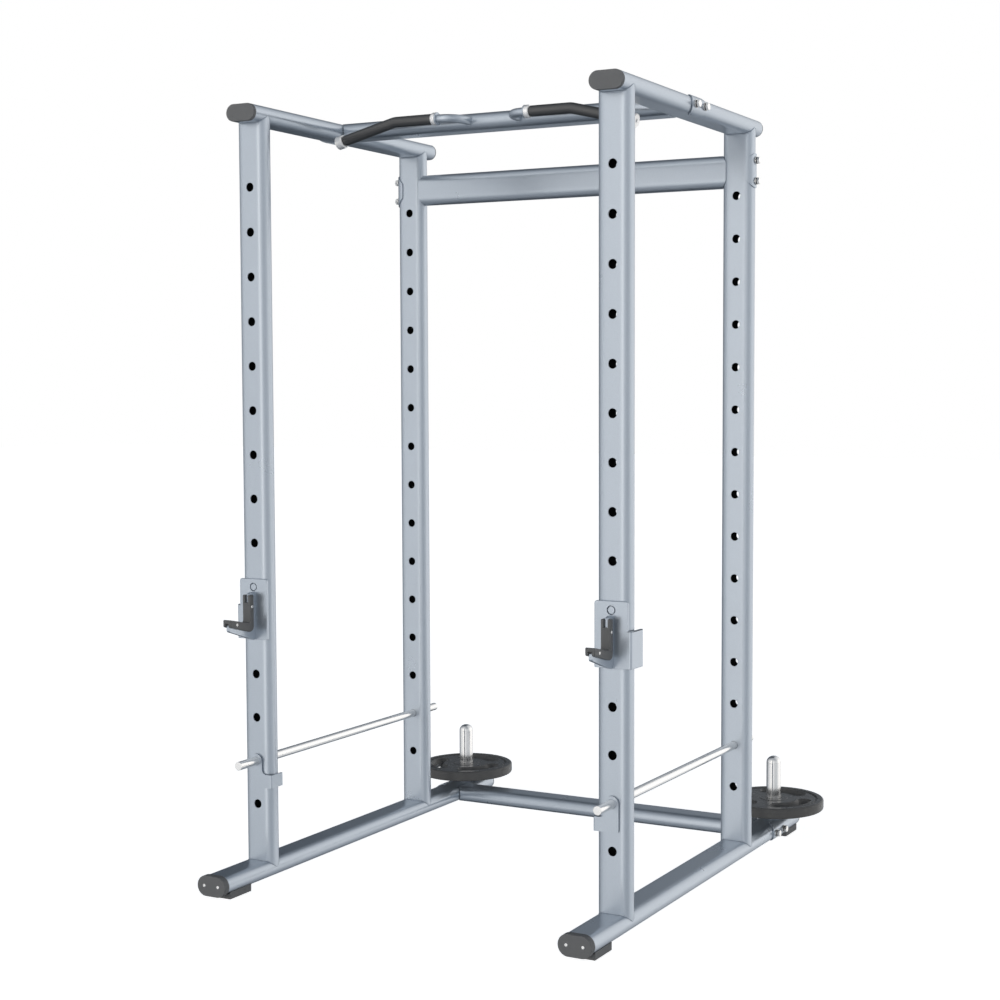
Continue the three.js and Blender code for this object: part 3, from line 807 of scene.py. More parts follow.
@dataclass
class WeldBead:
    """A weld's small rippled bead."""

    radius: float = 1.7 * MM
    ripple: float = 0.07
    pitch: float = 3.2 * MM
    sides: int = 10
    crease: float = 80.0

    def laid(self, path: Grid, normals: Grid, share: Grid, name: str, body: str, node: str) -> None:
        """Lays the bead along a closed path.

        Formula: the radius is r * share * (1 + ripple * sin(2 pi s / pitch)), with s the way along
        and the pitch trimmed to go a whole number of times into the path.

        Args:
            path: n by 3 points of the joint's line.
            normals: outward directions at them.
            share: the part of the radius at each point.
            name: the piece's name.
            body: the body that it rides on.
            node: the node whose weld it is.
        """
        step = np.linalg.norm(np.roll(path, -1, axis=0) - path, axis=1)
        way = np.cumsum(step) - step
        turns = max(1, round(float(step.sum()) / self.pitch))
        wave = 1 + self.ripple * np.sin(2 * math.pi * turns * way / step.sum())
        rows = swept(path, self.radius * share * wave, normals, self.sides, closed=True)
        piece = Skin().grid(np.vstack([rows, rows[:1]])).made(name, self.crease)
        dress(piece, body, node, PAINT)


@dataclass
class Upright:
    """An upright: coped over both rails, with a row of round holes through both its flats."""

    side: Side
    row: str
    tube: TubeStock = field(default_factory=TubeStock)
    hole: float = 26 * MM
    pitch: float = 130 * MM
    first: float = 235 * MM
    count: int = 15
    steps: int = 8
    arc: int = 16
    rings: int = 4
    end_shares: tuple[float, ...] = (0.0, 0.3, 0.65)
    weld_arc: int = 24
    weld_step: float = 1.1 * MM
    weld_thin: float = 0.35

    def build(self) -> None:
        """Builds the tube and its two welds."""
        self.node = f"{self.side.word}_{self.row}_upright"
        self.place = Place.of(self.node)
        skin = Skin()
        self.add_rounds(skin)
        self.add_flats(skin)
        self.tube.finished(skin, self.node)
        self.add_welds()

    def heights(self, x: Grid) -> Grid:
        """The height of every row of points at each x.

        Formula: the ends stand the rails' rise from the rails' axes, which are the box's ends. The
        rows of a hole's cell are level, and those between an end and a cell share out the way.

        Args:
            x: places across the tube, from its axis.

        Returns:
            Rows by places.
        """
        rise = self.tube.rise(x)
        bottom = self.place.low[2] + rise
        top = self.place.high[2] - rise
        centres = self.first + self.pitch * np.arange(self.count)
        step = np.linspace(-self.tube.thick / 2, self.tube.thick / 2, self.steps + 1)
        level = (centres[:, None] + step).ravel()
        share = np.array(self.end_shares)[:, None]
        return np.vstack([
            bottom + share * (level[0] - bottom),
            np.repeat(level[:, None], len(x), axis=1),
            top + share[::-1] * (level[-1] - top),
        ])

    def at(self, x: Grid, y: Grid | float, z: Grid) -> Grid:
        """Points about the upright's axis, as a grid in the model's frame."""
        x, y, z = np.broadcast_arrays(x, y, z)
        return np.stack([x + self.place.middle[0], y + self.place.middle[1], z], axis=-1)

    def add_rounds(self, skin: Skin) -> None:
        """Adds both half-round sides.

        Formula: x = reach + r cos t and y = r sin t, on each side of the axis.

        Args:
            skin: the tube's outside.
        """
        turn = np.linspace(-QUARTER, QUARTER, self.arc + 1)
        x = self.tube.reach + self.tube.radius * np.cos(turn)
        y = self.tube.radius * np.sin(turn)
        for sign in (-1, 1):
            skin.grid(self.at(sign * x, y, self.heights(x)), wrap=False)

    def add_flats(self, skin: Skin) -> None:
        """Adds both flats: plain strips, and a square cell round each hole.

        Args:
            skin: the tube's outside.
        """
        x = np.linspace(-self.tube.reach, self.tube.reach, self.steps + 1)
        z = self.heights(x)
        ends = len(self.end_shares)
        cells = z[ends:-ends].reshape(self.count, self.steps + 1, -1)
        strips = np.stack([cells[:-1, -1], cells[1:, 0]], axis=1)
        ring = self.cell()
        centres = cells[:, self.steps // 2, 0][:, None, None]
        for y in (-self.tube.radius, self.tube.radius):
            for part in (z[:ends + 1], z[-ends - 1:], strips):
                skin.grid(self.at(x, y, part), wrap=False)
            skin.grid(self.at(ring[..., 0], y, ring[..., 1] + centres))

    def cell(self) -> Grid:
        """Rings of points from a square to the hole in its middle.

        Formula: (1 - s) * square + s * circle, where a circle's point lies on the ray of its
        square's point.

        Returns:
            Rings by points by 2.
        """
        way = np.arange(4 * self.steps) / self.steps
        corner = np.array([[-1, -1], [1, -1], [1, 1], [-1, 1], [-1, -1]]) * self.tube.reach
        side = way.astype(int)
        part = (way - side)[:, None]
        square = corner[side] * (1 - part) + corner[side + 1] * part
        circle = square / np.linalg.norm(square, axis=1, keepdims=True) * self.hole / 2
        share = np.linspace(0, 1, self.rings)[:, None, None]
        return square * (1 - share) + circle * share

    def add_welds(self) -> None:
        """Lays a bead along each coped end, thin where the tube's side runs flush into the rail's.

        Formula: the bead's share is thin + (1 - thin) * |n|, n being the normal's part along the
        rail.
        """
        outline = flat_oval(self.tube.wide, self.tube.thick, self.weld_arc)
        points, normals = spread(outline, self.weld_step)
        rise = self.tube.rise(points[:, 0])
        share = self.weld_thin + (1 - self.weld_thin) * np.abs(normals[:, 1])
        outward = np.column_stack([normals, np.zeros(len(normals))])
        for end, z in (("bottom", self.place.low[2] + rise), ("top", self.place.high[2] - rise)):
            path = self.at(points[:, 0], points[:, 1], z)
            WeldBead().laid(path, outward, share, f"{self.node}_{end}_weld", FIXED, self.node)


@dataclass
class Rail:
    """A rail: a straight tube that lies front to back."""

    side: Side
    level: str
    tube: TubeStock = field(default_factory=TubeStock)
    rings: int = 9

    def build(self) -> None:
        """Builds the tube: the flat oval carried along Y."""
        node = f"{self.side.word}_{self.level}_rail"
        place = Place.of(node)
        outline = flat_oval(self.tube.wide, self.tube.thick)[0]
        way = np.linspace(place.low[1], place.high[1], self.rings)
        rows = np.broadcast_arrays(
            outline[None, :, 0] + place.middle[0], way[:, None],
            outline[None, :, 1] + place.middle[2],
        )
        self.tube.finished(Skin().grid(np.stack(rows, axis=-1)), node)


@dataclass
class CrossTube:
    """A tube between the two sides, coped to what it meets, with a small gap at each end."""

    node: str
    upended: bool = False
    tube: TubeStock = field(default_factory=TubeStock)
    joint: float = 2 * MM
    shares: tuple[float, ...] = (-1, -0.97, -0.5, 0, 0.5, 0.97, 1)

    def build(self, middle: float) -> None:
        """Builds the tube.

        Formula: x = f * (c - sqrt(R^2 - v^2)), where f runs from -1 to 1, v is the thin way of the
        section, R is the met half round's radius with the joint's room, and c is how far its
        centre is from the cage's middle.

        Args:
            middle: the X of the right upright's axis.
        """
        place = Place.of(self.node)
        points = flat_oval(self.tube.wide, self.tube.thick)[0]
        met = self.tube.radius + self.joint
        end = middle - self.tube.reach - np.sqrt(met**2 - points[:, 1] ** 2)
        x = np.array(self.shares)[:, None] * end
        y, z = (points[:, 1], points[:, 0]) if self.upended else (points[:, 0], points[:, 1])
        rows = np.broadcast_arrays(x, y + place.middle[1], z + place.middle[2])
        self.tube.finished(Skin().grid(np.stack(rows, axis=-1)), self.node)


# ---------------------------------------------------------------- bolted joints


@dataclass
class HexBolt:
    """A hexagon bolt's head on its spring washer and flat washer."""

    washer: float = 24 * MM
    washer_thick: float = 2.5 * MM
    washer_edge: float = 0.4 * MM
    bore: float = 6.5 * MM
    spring: float = 21 * MM
    spring_thick: float = 3 * MM
    spring_band: float = 4.2 * MM
    spring_slack: float = 0.35 * MM
    spring_climb: float = 0.5 * MM
    spring_split: float = 5.0
    spring_steps: int = 48
    across: float = 18.5 * MM
    head: float = 7.5 * MM
    chamfer_at: float = 0.95
    chamfer_shares: tuple[float, ...] = (1, 0.66, 0.33, 0, -0.12)
    sides: int = 48
    crease: float = 28.0

    def build(self, node: str, side: Side) -> None:
        """Builds what shows outside the saddle: the flat washer, the spring washer and the head.

        Args:
            node: the bolt's node.
            side: the side of the cage that it is on.
        """
        place = Place.of(node)
        total = self.washer_thick + self.spring_thick + self.head
        foot = (place.outer(side) - side.value * total, place.middle[1], place.middle[2])
        skin = Skin()
        skin.grid(side.facing.carry(turned(self.washer_profile()), foot))
        skin.grid(side.facing.carry(self.head_grid(), foot))
        dress(skin.made(f"{node}_head", self.crease), FIXED, node, ZINC)
        # The spring washer is near-black: painted shade of the gap between the flat washer and the
        # head.
        spring = Skin().loft(side.facing.carry(self.spring_rings(), foot)).made(f"{node}_spring")
        dress(spring, FIXED, node, WASHER_SHADE)

    def washer_profile(self) -> Grid:
        """The flat washer's section.

        Returns:
            The points of radius and height, closed on themselves.
        """
        rim, top = self.washer / 2, self.washer_thick
        corners = [(self.bore, 0), (rim, 0), (rim, top), (self.bore, top)]
        return closed_profile(corners, [HAIR, self.washer_edge, self.washer_edge, HAIR], 3)

    def spring_rings(self) -> Grid:
        """The split spring washer.

        Formula: its section turns from one side of the split to the other, and climbs a little.

        Returns:
            Sections by points by u, v and w.
        """
        band, tall = self.spring_band / 2, self.spring_thick / 2 - self.spring_slack
        corners = [(-band, -tall), (band, -tall), (band, tall), (-band, tall)]
        section = rounded(corners, [BROKEN] * 4, 2)[0]
        split = self.spring_split
        turn = np.linspace(math.radians(split), math.radians(360 - split), self.spring_steps + 1)
        turn = turn[:, None]
        radius = self.spring / 2 - band + section[:, 0]
        climb = self.spring_climb * (turn / (2 * math.pi) - 0.5)
        height = self.washer_thick + self.spring_thick / 2 + section[:, 1] + climb
        return np.stack([radius * np.cos(turn), radius * np.sin(turn), height], axis=-1)

    def head_grid(self) -> Grid:
        """The hexagon head with its turned chamfer.

        Formula: the flats are a / (2 cos t) from the axis, t being the angle from a flat's middle,
        and the top is h - max(0, r - c) * tan 30, c being where the chamfer begins.

        Returns:
            Rings by points by u, v and w.
        """
        angle = whole_turn(self.sides)
        flat = self.across / 2 / np.cos(np.mod(angle, math.pi / 3) - math.pi / 6)
        inner = self.chamfer_at * self.across / 2
        share = np.array(self.chamfer_shares)[:, None]
        upper = inner + (flat - inner) * share
        radius = np.vstack([0 * flat, flat - BROKEN, flat, upper, 0 * flat])
        foot = 0 * flat + (self.washer_thick + self.spring_thick)
        top = foot + self.head
        chamfer = top - np.maximum(0, upper - inner) * math.tan(math.pi / 6)
        level = np.vstack([foot, foot, foot + BROKEN, chamfer, top])
        return np.stack([radius * np.cos(angle), radius * np.sin(angle), level], axis=-1)


@dataclass
class BoltedJoint:
    """A half-round saddle with round ends, and its two bolts."""

    side: Side
    joint: str
    upended: bool
    tube: TubeStock = field(default_factory=TubeStock)
    length: float = 104 * MM
    thick: float = 3.5 * MM
    edge: float = 0.6 * MM
    arc: int = 28
    steps: int = 16

    def build(self) -> None:
        """Builds the saddle and the bolts."""
        stem = f"{self.side.word}_{self.joint}"
        saddle = f"{stem}_saddle"
        piece = Skin().grid(self.surface(Place.of(saddle)), wrap=False).made(f"{saddle}_plate")
        dress(soften(thicken(piece, self.thick), self.edge), FIXED, saddle, PAINT)
        for letter in "ab":
            HexBolt().build(f"{stem}_bolt_{letter}", self.side)

    def surface(self, place: Place) -> Grid:
        """The saddle's outside.

        Formula: a half round of radius R turns from one flat to the other by t, and its half
        length is l / 2 - R + R cos t, so that its ends are half rounds seen from the side.

        Args:
            place: the saddle's box.

        Returns:
            Rows by points by 3.
        """
        radius = self.tube.radius + GAP + self.thick
        turn = np.linspace(-QUARTER, QUARTER, self.arc + 1)
        share = np.linspace(-1, 1, self.steps + 1)[:, None]
        along = share * (self.length / 2 - radius + radius * np.cos(turn))
        across = radius * np.sin(turn)
        x = place.outer(self.side) - self.side.value * radius * (1 - np.cos(turn))
        y, z = (across, along) if self.upended else (along, across)
        rows = np.broadcast_arrays(x, y + place.middle[1], z + place.middle[2])
        return np.stack(rows, axis=-1)


# ---------------------------------------------------------------- caps and feet


@dataclass
class DomeScrew:
    """A small domed screw with a round socket.

    The head's side stands up to the shoulder's share of the rise, and its dome closes in to the
    crown's share of the radius.
    """

    head: float = 9.4 * MM
    rise: float = 2 * MM
    socket: float = 3.6 * MM
    depth: float = 1.3 * MM
    sunk: float = 0.5 * MM
    shoulder: float = 0.35
    crown: float = 0.72
    sides: int = 32

    def build(
        self, name: str, body: str, node: str, facing: Facing, place: Sequence[float]
    ) -> None:
        """Builds the screw's head on a surface that it faces out of.

        Args:
            name: the piece's name.
            body: the body that it rides on.
            node: the node that it is set in.
            facing: the way that it faces.
            place: where its axis meets the surface.
        """
        radius, bore = self.head / 2, self.socket / 2
        corners = [
            (0, -self.sunk), (radius, -self.sunk), (radius, self.shoulder * self.rise),
            (self.crown * radius, self.rise), (bore, self.rise), (bore, self.rise - self.depth),
            (0, self.rise - self.depth),
        ]
        radii = [0, 0.05 * MM, 0.5 * MM, 1.2 * MM, BROKEN, HAIR, 0]
        skin = Skin().grid(facing.carry(turned(profile(corners, radii), self.sides), place))
        dress(skin.made(name), body, node, ZINC)


@dataclass
class EndCap:
    """A moulded cap over a rail's end, which its two screws stand proud of where it has them."""

    side: Side
    level: str
    end: str
    edge: float
    height: float = 50 * MM
    screws: bool = False
    screw_reach: float = 24.5 * MM
    screw_up: float = 1 * MM
    tube: TubeStock = field(default_factory=TubeStock)
    arc: int = 24

    def build(self) -> None:
        """Builds the cap, a flat-oval slab with a round outer edge, and its screws."""
        node = f"{self.side.word}_{self.level}_{self.end}_cap"
        place = Place.of(node)
        rail = Place.of(f"{self.side.word}_{self.level}_rail")
        if self.end == "front":
            facing, outer, inner = Facing.FRONT, place.low[1], rail.low[1]
        else:
            facing, outer, inner = Facing.BACK, place.high[1], rail.high[1]
        outer += DomeScrew.rise if self.screws else 0
        thick = abs(inner - outer) - GAP
        centre = (place.middle[0], outer, rail.middle[2])
        outline = flat_oval(self.tube.wide, self.height, self.arc)
        rows = slab(outline, -thick, 0, (BROKEN, self.edge))
        piece = Skin().loft(facing.carry(rows, centre)).made(f"{node}_cover")
        dress(piece, FIXED, node, CAP_PLASTIC)
        if self.screws:
            for number, sign in enumerate((-1, 1), start=1):
                spot = (centre[0] + sign * self.screw_reach, outer, centre[2] + self.screw_up)
                DomeScrew().build(f"{node}_screw_{number}", FIXED, node, facing, spot)


@dataclass
class FootPad:
    """A moulded foot that cradles a bottom rail."""

    side: Side
    end: str
    tube: TubeStock = field(default_factory=TubeStock)
    wide: float = 90 * MM
    edge: float = 2 * MM
    corner: float = 3 * MM
    lip: float = 0.4 * MM
    arc: int = 8

    def build(self) -> None:
        """Builds the pad: its section carried along Y, with round edges."""
        node = f"{self.side.word}_{self.end}_foot_pad"
        place = Place.of(node)
        rail = Place.of(f"{self.side.word}_bottom_rail")
        half = (place.high[1] - place.low[1]) / 2
        section = self.section(rail.middle[2], place.high[2])
        rows = slab(section, -half, half, (self.edge, self.edge))
        centre = (place.middle[0], place.middle[1], 0)
        piece = Skin().loft(Facing.FRONT.carry(rows, centre)).made(f"{node}_moulding")
        dress(piece, FIXED, node, CAP_PLASTIC)

    def section(self, axis: float, top: float) -> Outline:
        """The pad's section: a box with round lower corners, whose top is hollowed to the rail.

        Formula: the hollow is the rail's round with its gap, (reach + R sin t, axis - R cos t),
        from where it passes the lip's height down to its lowest point. The left half mirrors the
        right.

        Args:
            axis: the height of the rail's axis.
            top: the height of the pad's lips.

        Returns:
            The points and their outward normals.
        """
        half, radius, reach = self.wide / 2, self.tube.radius + GAP, self.tube.reach
        corners = [(0, 0), (half, 0), (half, top), (half - self.lip, top)]
        points, normals = rounded(corners, [0, self.corner, self.lip / 2, 0], 6, closed=False)
        first = math.acos((axis - top) / radius)
        turn = np.linspace(first, 0, self.arc + 1)
        hollow = np.column_stack([reach + radius * np.sin(turn), axis - radius * np.cos(turn)])
        inward = np.column_stack([-np.sin(turn), np.cos(turn)])
        right = np.vstack([points, hollow]), np.vstack([normals, inward])
        return tuple(np.vstack([part, part[:0:-1] * [-1, 1]]) for part in right)


# ---------------------------------------------------------------- plate storage


@dataclass
class StoragePeg:
    """A chromed storage peg with its stop ring and a domed end."""

    side: Side
    diameter: float = 48 * MM
    dome: float = 21 * MM
    seam: float = 0.8 * MM
    stop: float = 12 * MM
    stop_top: float = 28 * MM
    stop_thick: float = 8 * MM
    sides: int = 64
    dome_steps: int = 16

    def build(self) -> None:
        """Builds the peg and its stop ring by turning their profiles."""
        node = f"{self.side.word}_storage_peg"
        place = Place.of(node)
        centre = (place.middle[0], place.middle[1], place.low[2])
        tall = place.high[2] - place.low[2]
        for name, line, finish in (
            ("turning", self.peg_profile(tall), CHROME), ("stop_ring", self.ring_profile(), PAINT),
        ):
            rows = Facing.TOP.carry(turned(line, self.sides), centre)
            dress(Skin().grid(rows).made(f"{node}_{name}"), FIXED, node, finish)

    def peg_profile(self, tall: float) -> Grid:
        """The peg's line, from above the stop ring to the top of its dome.

        Formula: the dome is a quarter oval, (r cos t, shoulder + d sin t).

        Args:
            tall: the peg's height.

        Returns:
            The points of radius and height.
        """
        radius, shoulder = self.diameter / 2, tall - self.dome
        corners = [
            (0, self.stop_top), (radius, self.stop_top), (radius, shoulder - self.seam),
            (radius - self.seam, shoulder - self.seam / 2), (radius, shoulder),
        ]
        turn = np.linspace(0, QUARTER, self.dome_steps + 1)[1:]
        dome = np.column_stack([radius * np.cos(turn), shoulder + self.dome * np.sin(turn)])
        dome[-1, 0] = 0
        return np.vstack([profile(corners, [0, HAIR, 0.2 * MM, HAIR, 0]), dome])

    def ring_profile(self) -> Grid:
        """The line of the stop ring and of the peg's foot below it.

        Returns:
            The points of radius and height.
        """
        radius, ring = self.diameter / 2, self.diameter / 2 + self.stop
        under, top = self.stop_top - self.stop_thick, self.stop_top - GAP
        corners = [(0, 0), (radius, 0), (radius, under), (ring, under), (ring, top), (0, top)]
        return profile(corners, [0, 0.5 * MM, 1 * MM, 1 * MM, 1.5 * MM, 0])


@dataclass
class WeightPlate:
    """A coated weight plate: rim, groove, web, hub and three grip openings with dished lips.

    A third of the web is one cell: its border has 2 * (arc + side) steps and its opening's
    outline 2 * (band + end), which are as many.
    """

    side: Side
    radius: float = 163.5 * MM
    thick: float = 34 * MM
    bore: float = 25.6 * MM
    web: float = 15.2 * MM
    hub: float = 44 * MM
    hub_top: float = 16.4 * MM
    hub_foot: float = 2.5 * MM
    rim: float = 143.5 * MM
    rim_round: float = 7 * MM
    rim_lean: float = 0.6 * MM
    groove: float = 12.7 * MM
    groove_start: float = 7 * MM
    groove_floor: float = 5 * MM
    cell_inner: float = 74 * MM
    cell_outer: float = 132 * MM
    cell_centres: Vec = (-30, 90, 210)
    opening: float = 103 * MM
    opening_half: float = 18 * MM
    opening_turn: float = 33.0
    dish: float = 7 * MM
    dish_deep: float = 5.5 * MM
    dish_shares: tuple[float, ...] = (1.35, 1.0, 0.8, 0.6, 0.42, 0.26, 0.12, 0.03, 0.0, -1.2)
    bead: float = 1.2 * MM
    bead_spread: float = 0.22
    arc_steps: int = 32
    side_steps: int = 4
    band_steps: int = 24
    end_steps: int = 12
    sides: int = 96
    crease: float = 50.0

    def build(self) -> None:
        """Builds the plate's upper half and its mirror, and joins them at mid height."""
        node = f"{self.side.word}_weight_plate"
        place = Place.of(node)
        lines = (self.inner_profile(), self.outer_profile())
        parts = [turned(line, self.sides) for line in lines]
        parts += [self.cell(centre) for centre in np.radians(self.cell_centres)]
        skin = Skin()
        for part in parts:
            for sign in (1, -1):
                skin.grid(part * [1, 1, sign] + place.middle)
        piece = skin.made(f"{node}_casting", self.crease)
        dress(piece, f"{self.side.word}_plate", node, PLATE_COATING)

    def inner_profile(self) -> Grid:
        """From the bore's middle up over the hub and out to the openings' ring.

        Returns:
            The points of radius and height.
        """
        corners = [
            (self.bore, 0), (self.bore, self.hub_top), (self.hub, self.hub_top),
            (self.hub + self.hub_foot, self.web), (self.cell_inner, self.web),
        ]
        return profile(corners, [0, 1.2 * MM, 1.5 * MM, 1.5 * MM, 0])

    def outer_profile(self) -> Grid:
        """From the openings' ring out over the groove and the round rim to the edge's middle.

        Returns:
            The points of radius and height.
        """
        top = self.thick / 2
        corners = [
            (self.cell_outer, self.web), (self.rim - self.groove_start, self.web),
            (self.rim - self.groove_floor, self.groove), (self.rim - self.rim_lean, self.groove),
            (self.rim, top), (self.radius, top), (self.radius, 0),
        ]
        radii = [0, 1.5 * MM, 1.2 * MM, 1.2 * MM, 1.5 * MM, self.rim_round, 0]
        return profile(corners, radii, 7)

    def opening_ring(self, grow: float) -> Grid:
        """A grip opening's outline about +u, grown by a distance.

        Formula: an arc band about the plate's axis, closed by a half round at each end.

        Args:
            grow: the distance.

        Returns:
            n by 2 points.
        """
        half = math.radians(self.opening_turn)
        band = self.opening_half + grow
        arc = np.linspace(-half, half, self.band_steps, endpoint=False)
        turn = np.linspace(half, half + math.pi, self.end_steps, endpoint=False)
        back = turn + math.pi - 2 * half
        outer = (self.opening + band) * np.column_stack([np.cos(arc), np.sin(arc)])
        inner = (self.opening - band) * np.column_stack([np.cos(-arc), np.sin(-arc)])
        centre = self.opening * np.array([math.cos(half), math.sin(half)])
        end = centre + band * np.column_stack([np.cos(turn), np.sin(turn)])
        other = centre * [1, -1] + band * np.column_stack([np.cos(back), np.sin(back)])
        return np.vstack([outer, end, inner, other])

    def border(self) -> Grid:
        """The border of a third of the web: its outer arc, a side in, its inner arc, a side out.

        Returns:
            n by 2 points about +u, from the one that faces the first of the opening's outline.
        """
        wide = math.pi / 3
        arc = np.linspace(-wide, wide, self.arc_steps, endpoint=False)
        step = np.linspace(0, 1, self.side_steps, endpoint=False)
        inner, outer = self.cell_inner, self.cell_outer
        gap = outer - inner
        radius = np.concatenate([
            0 * arc + outer, outer - gap * step, 0 * arc + inner, inner + gap * step,
        ])
        angle = np.concatenate([arc, 0 * step + wide, -arc, 0 * step - wide])
        points = radius[:, None] * np.column_stack([np.cos(angle), np.sin(angle)])
        return np.roll(points, -self.side_steps, axis=0)

    def cell(self, centre: float) -> Grid:
        """A third of the web with its opening, from its border in to the opening's wall.

        Formula: rings run from the border to the opening's outline grown by the dish. From there
        the height falls by a parabola as the outline closes in, with a bell-shaped bead where the
        fall begins, and the last ring drops to the middle.

        Args:
            centre: the angle of the opening's middle.

        Returns:
            Rings by points by 3.
        """
        share = np.array(self.dish_shares)
        lip = self.dish * share
        fall = self.dish_deep * np.clip(1 - np.maximum(lip, 0) / self.dish, 0, 1) ** 2
        bead = self.bead * np.exp(-((lip / self.dish - 1.0) / self.bead_spread) ** 2)
        level = self.web - fall + bead
        level[0], level[-1] = self.web, 0
        level = np.concatenate([[self.web, self.web], level])
        border = self.border()
        rings = [border, 0.5 * (border + self.opening_ring(lip[0]))]
        rings += [self.opening_ring(grow) for grow in lip]
        cos, sin = math.cos(centre), math.sin(centre)
        flat = np.stack(rings) @ np.array([[cos, sin], [-sin, cos]])
        height = np.broadcast_to(level[:, None, None], (*flat.shape[:2], 1))
        return np.concatenate([flat, height], axis=2)


# ---------------------------------------------------------------- pull-up handles


@dataclass
class PullUpHandle:
    """A pull-up handle: painted tube, ring, rubber grip and end collar."""

    side: Side
    stock: TubeStock = field(default_factory=TubeStock)
    tube: float = 25 * MM
    root: float = 85 * MM
    sunk: float = 4 * MM
    reach: float = 125 * MM
    bend: float = 54 * MM
    knee: float = 298.5 * MM
    knee_round: float = 70 * MM
    end: float = 504.5 * MM
    drop: float = 50 * MM
    flange_at: float = 147 * MM
    flange: float = 39 * MM
    flange_thick: float = 3.5 * MM
    flange_edge: float = 1.2 * MM
    tube_past: float = 12 * MM
    weld: float = 1.9 * MM
    weld_points: int = 72
    ring: float = 38 * MM
    ring_small: float = 34 * MM
    ring_long: float = 14.5 * MM
    ring_taper: float = 5 * MM
    grip: float = 32 * MM
    grip_edge: float = 1.5 * MM
    collar: float = 40 * MM
    collar_long: float = 24 * MM
    socket: float = 5 * MM
    socket_deep: float = 3 * MM
    sides: int = 56

    def build(self) -> None:
        """Builds the handle's pieces along its line."""
        self.stem = f"{self.side.word}_handle"
        beam = Place.of("top_crossmember")
        self.origin = beam.middle * [0, 1, 1]
        self.front = beam.low[1]
        self.knee_at = self.spot(self.knee, -self.reach, 0)
        self.end_at = self.spot(self.end, -self.reach, -self.drop)
        self.outward = (self.end_at - self.knee_at) / np.linalg.norm(self.end_at - self.knee_at)
        self.add_tube()
        self.add_ring()
        self.add_grip()
        self.add_collar()

    def spot(self, x: float, y: float, z: float) -> Grid:
        """A place from the crossmember's middle, on this handle's side."""
        return self.origin + [self.side.value * x, y, z]

    def add_tube(self) -> None:
        """Builds the painted tube with its flange, and the weld at its root."""
        node = f"{self.stem}_tube"
        start = self.spot(self.root, self.front - self.origin[1] + self.sunk, 0)
        corner = self.spot(self.root, -self.reach, 0)
        finish = self.spot(self.flange_at + self.tube_past, -self.reach, 0)
        path = bent_path([start, corner, finish], self.bend, steps=24)
        normals = np.tile([0.0, 0.0, 1.0], (len(path), 1))
        radii = np.full(len(path), self.tube / 2)
        skin = Skin().loft(swept(path, radii, normals, sides=40))
        rim, thick = self.flange / 2, self.flange_thick
        corners = [(0, 0), (rim, 0), (rim, thick), (0, thick)]
        disc = turned(profile(corners, [0, self.flange_edge, self.flange_edge, 0]), self.sides)
        skin.grid(self.side.facing.carry(disc, self.spot(self.flange_at, -self.reach, 0)))
        dress(skin.made(f"{node}_bend"), FIXED, node, PAINT)
        self.add_weld(node)

    def add_weld(self, node: str) -> None:
        """Lays a bead where the tube meets the crossmember's half round.

        Formula: a circle of the tube's radius about its axis, each point pushed back in Y to the
        round's surface, which is R - sqrt(R^2 - z^2) behind the crossmember's front.

        Args:
            node: the tube's node.
        """
        angle = whole_turn(self.weld_points)
        x, z = self.tube / 2 * np.cos(angle), self.tube / 2 * np.sin(angle)
        back = self.stock.radius - np.sqrt(self.stock.radius**2 - z**2)
        path = np.column_stack([x, self.front - self.origin[1] + back, z])
        outward = np.column_stack([np.cos(angle), 0 * angle, np.sin(angle)])
        WeldBead(radius=self.weld).laid(
            self.spot(self.root, 0, 0) + path, outward, np.ones(len(angle)),
            f"{self.stem}_root_weld", FIXED, node,
        )

    def add_ring(self) -> None:
        """Builds the ring behind the grip: a band that tapers towards the grip."""
        node = f"{self.stem}_ring"
        bore, large, small = self.tube / 2 + HAIR, self.ring / 2, self.ring_small / 2
        corners = [
            (bore, 0), (large, 0), (large, self.ring_long - self.ring_taper),
            (small, self.ring_long), (bore, self.ring_long),
        ]
        line = closed_profile(corners, [HAIR, 1 * MM, 2 * MM, 1 * MM, HAIR], 4)
        place = self.spot(self.flange_at + self.flange_thick + GAP, -self.reach, 0)
        rows = self.side.facing.carry(turned(line, self.sides), place)
        dress(Skin().grid(rows).made(f"{node}_turning"), FIXED, node, ALUMINIUM)

    def add_grip(self) -> None:
        """Builds the rubber sleeve along the bent line.

        Formula: its ends are round: the radius is r - e + sqrt(e^2 - d^2), with e the edge's
        radius and d how far the way to the nearer end falls short of it.
        """
        node = f"{self.stem}_grip"
        start_x = self.flange_at + self.flange_thick + self.ring_long + 2 * GAP
        start = self.spot(start_x, -self.reach, 0)
        stop = self.end_at - self.outward * (self.collar_long + GAP)
        path = bent_path([start, self.knee_at, stop], self.knee_round, steps=20, straight=24)
        normals = np.tile([0.0, 1.0, 0.0], (len(path), 1))
        way = np.concatenate([[0], np.cumsum(np.linalg.norm(np.diff(path, axis=0), axis=1))])
        edge = self.grip_edge
        inner = np.minimum(way, way[-1] - way)
        radii = self.grip / 2 - edge + np.sqrt(edge**2 - np.clip(edge - inner, 0, edge) ** 2)
        piece = Skin().loft(swept(path, radii, normals, sides=48)).made(f"{node}_sleeve")
        dress(piece, FIXED, node, GRIP_RUBBER)

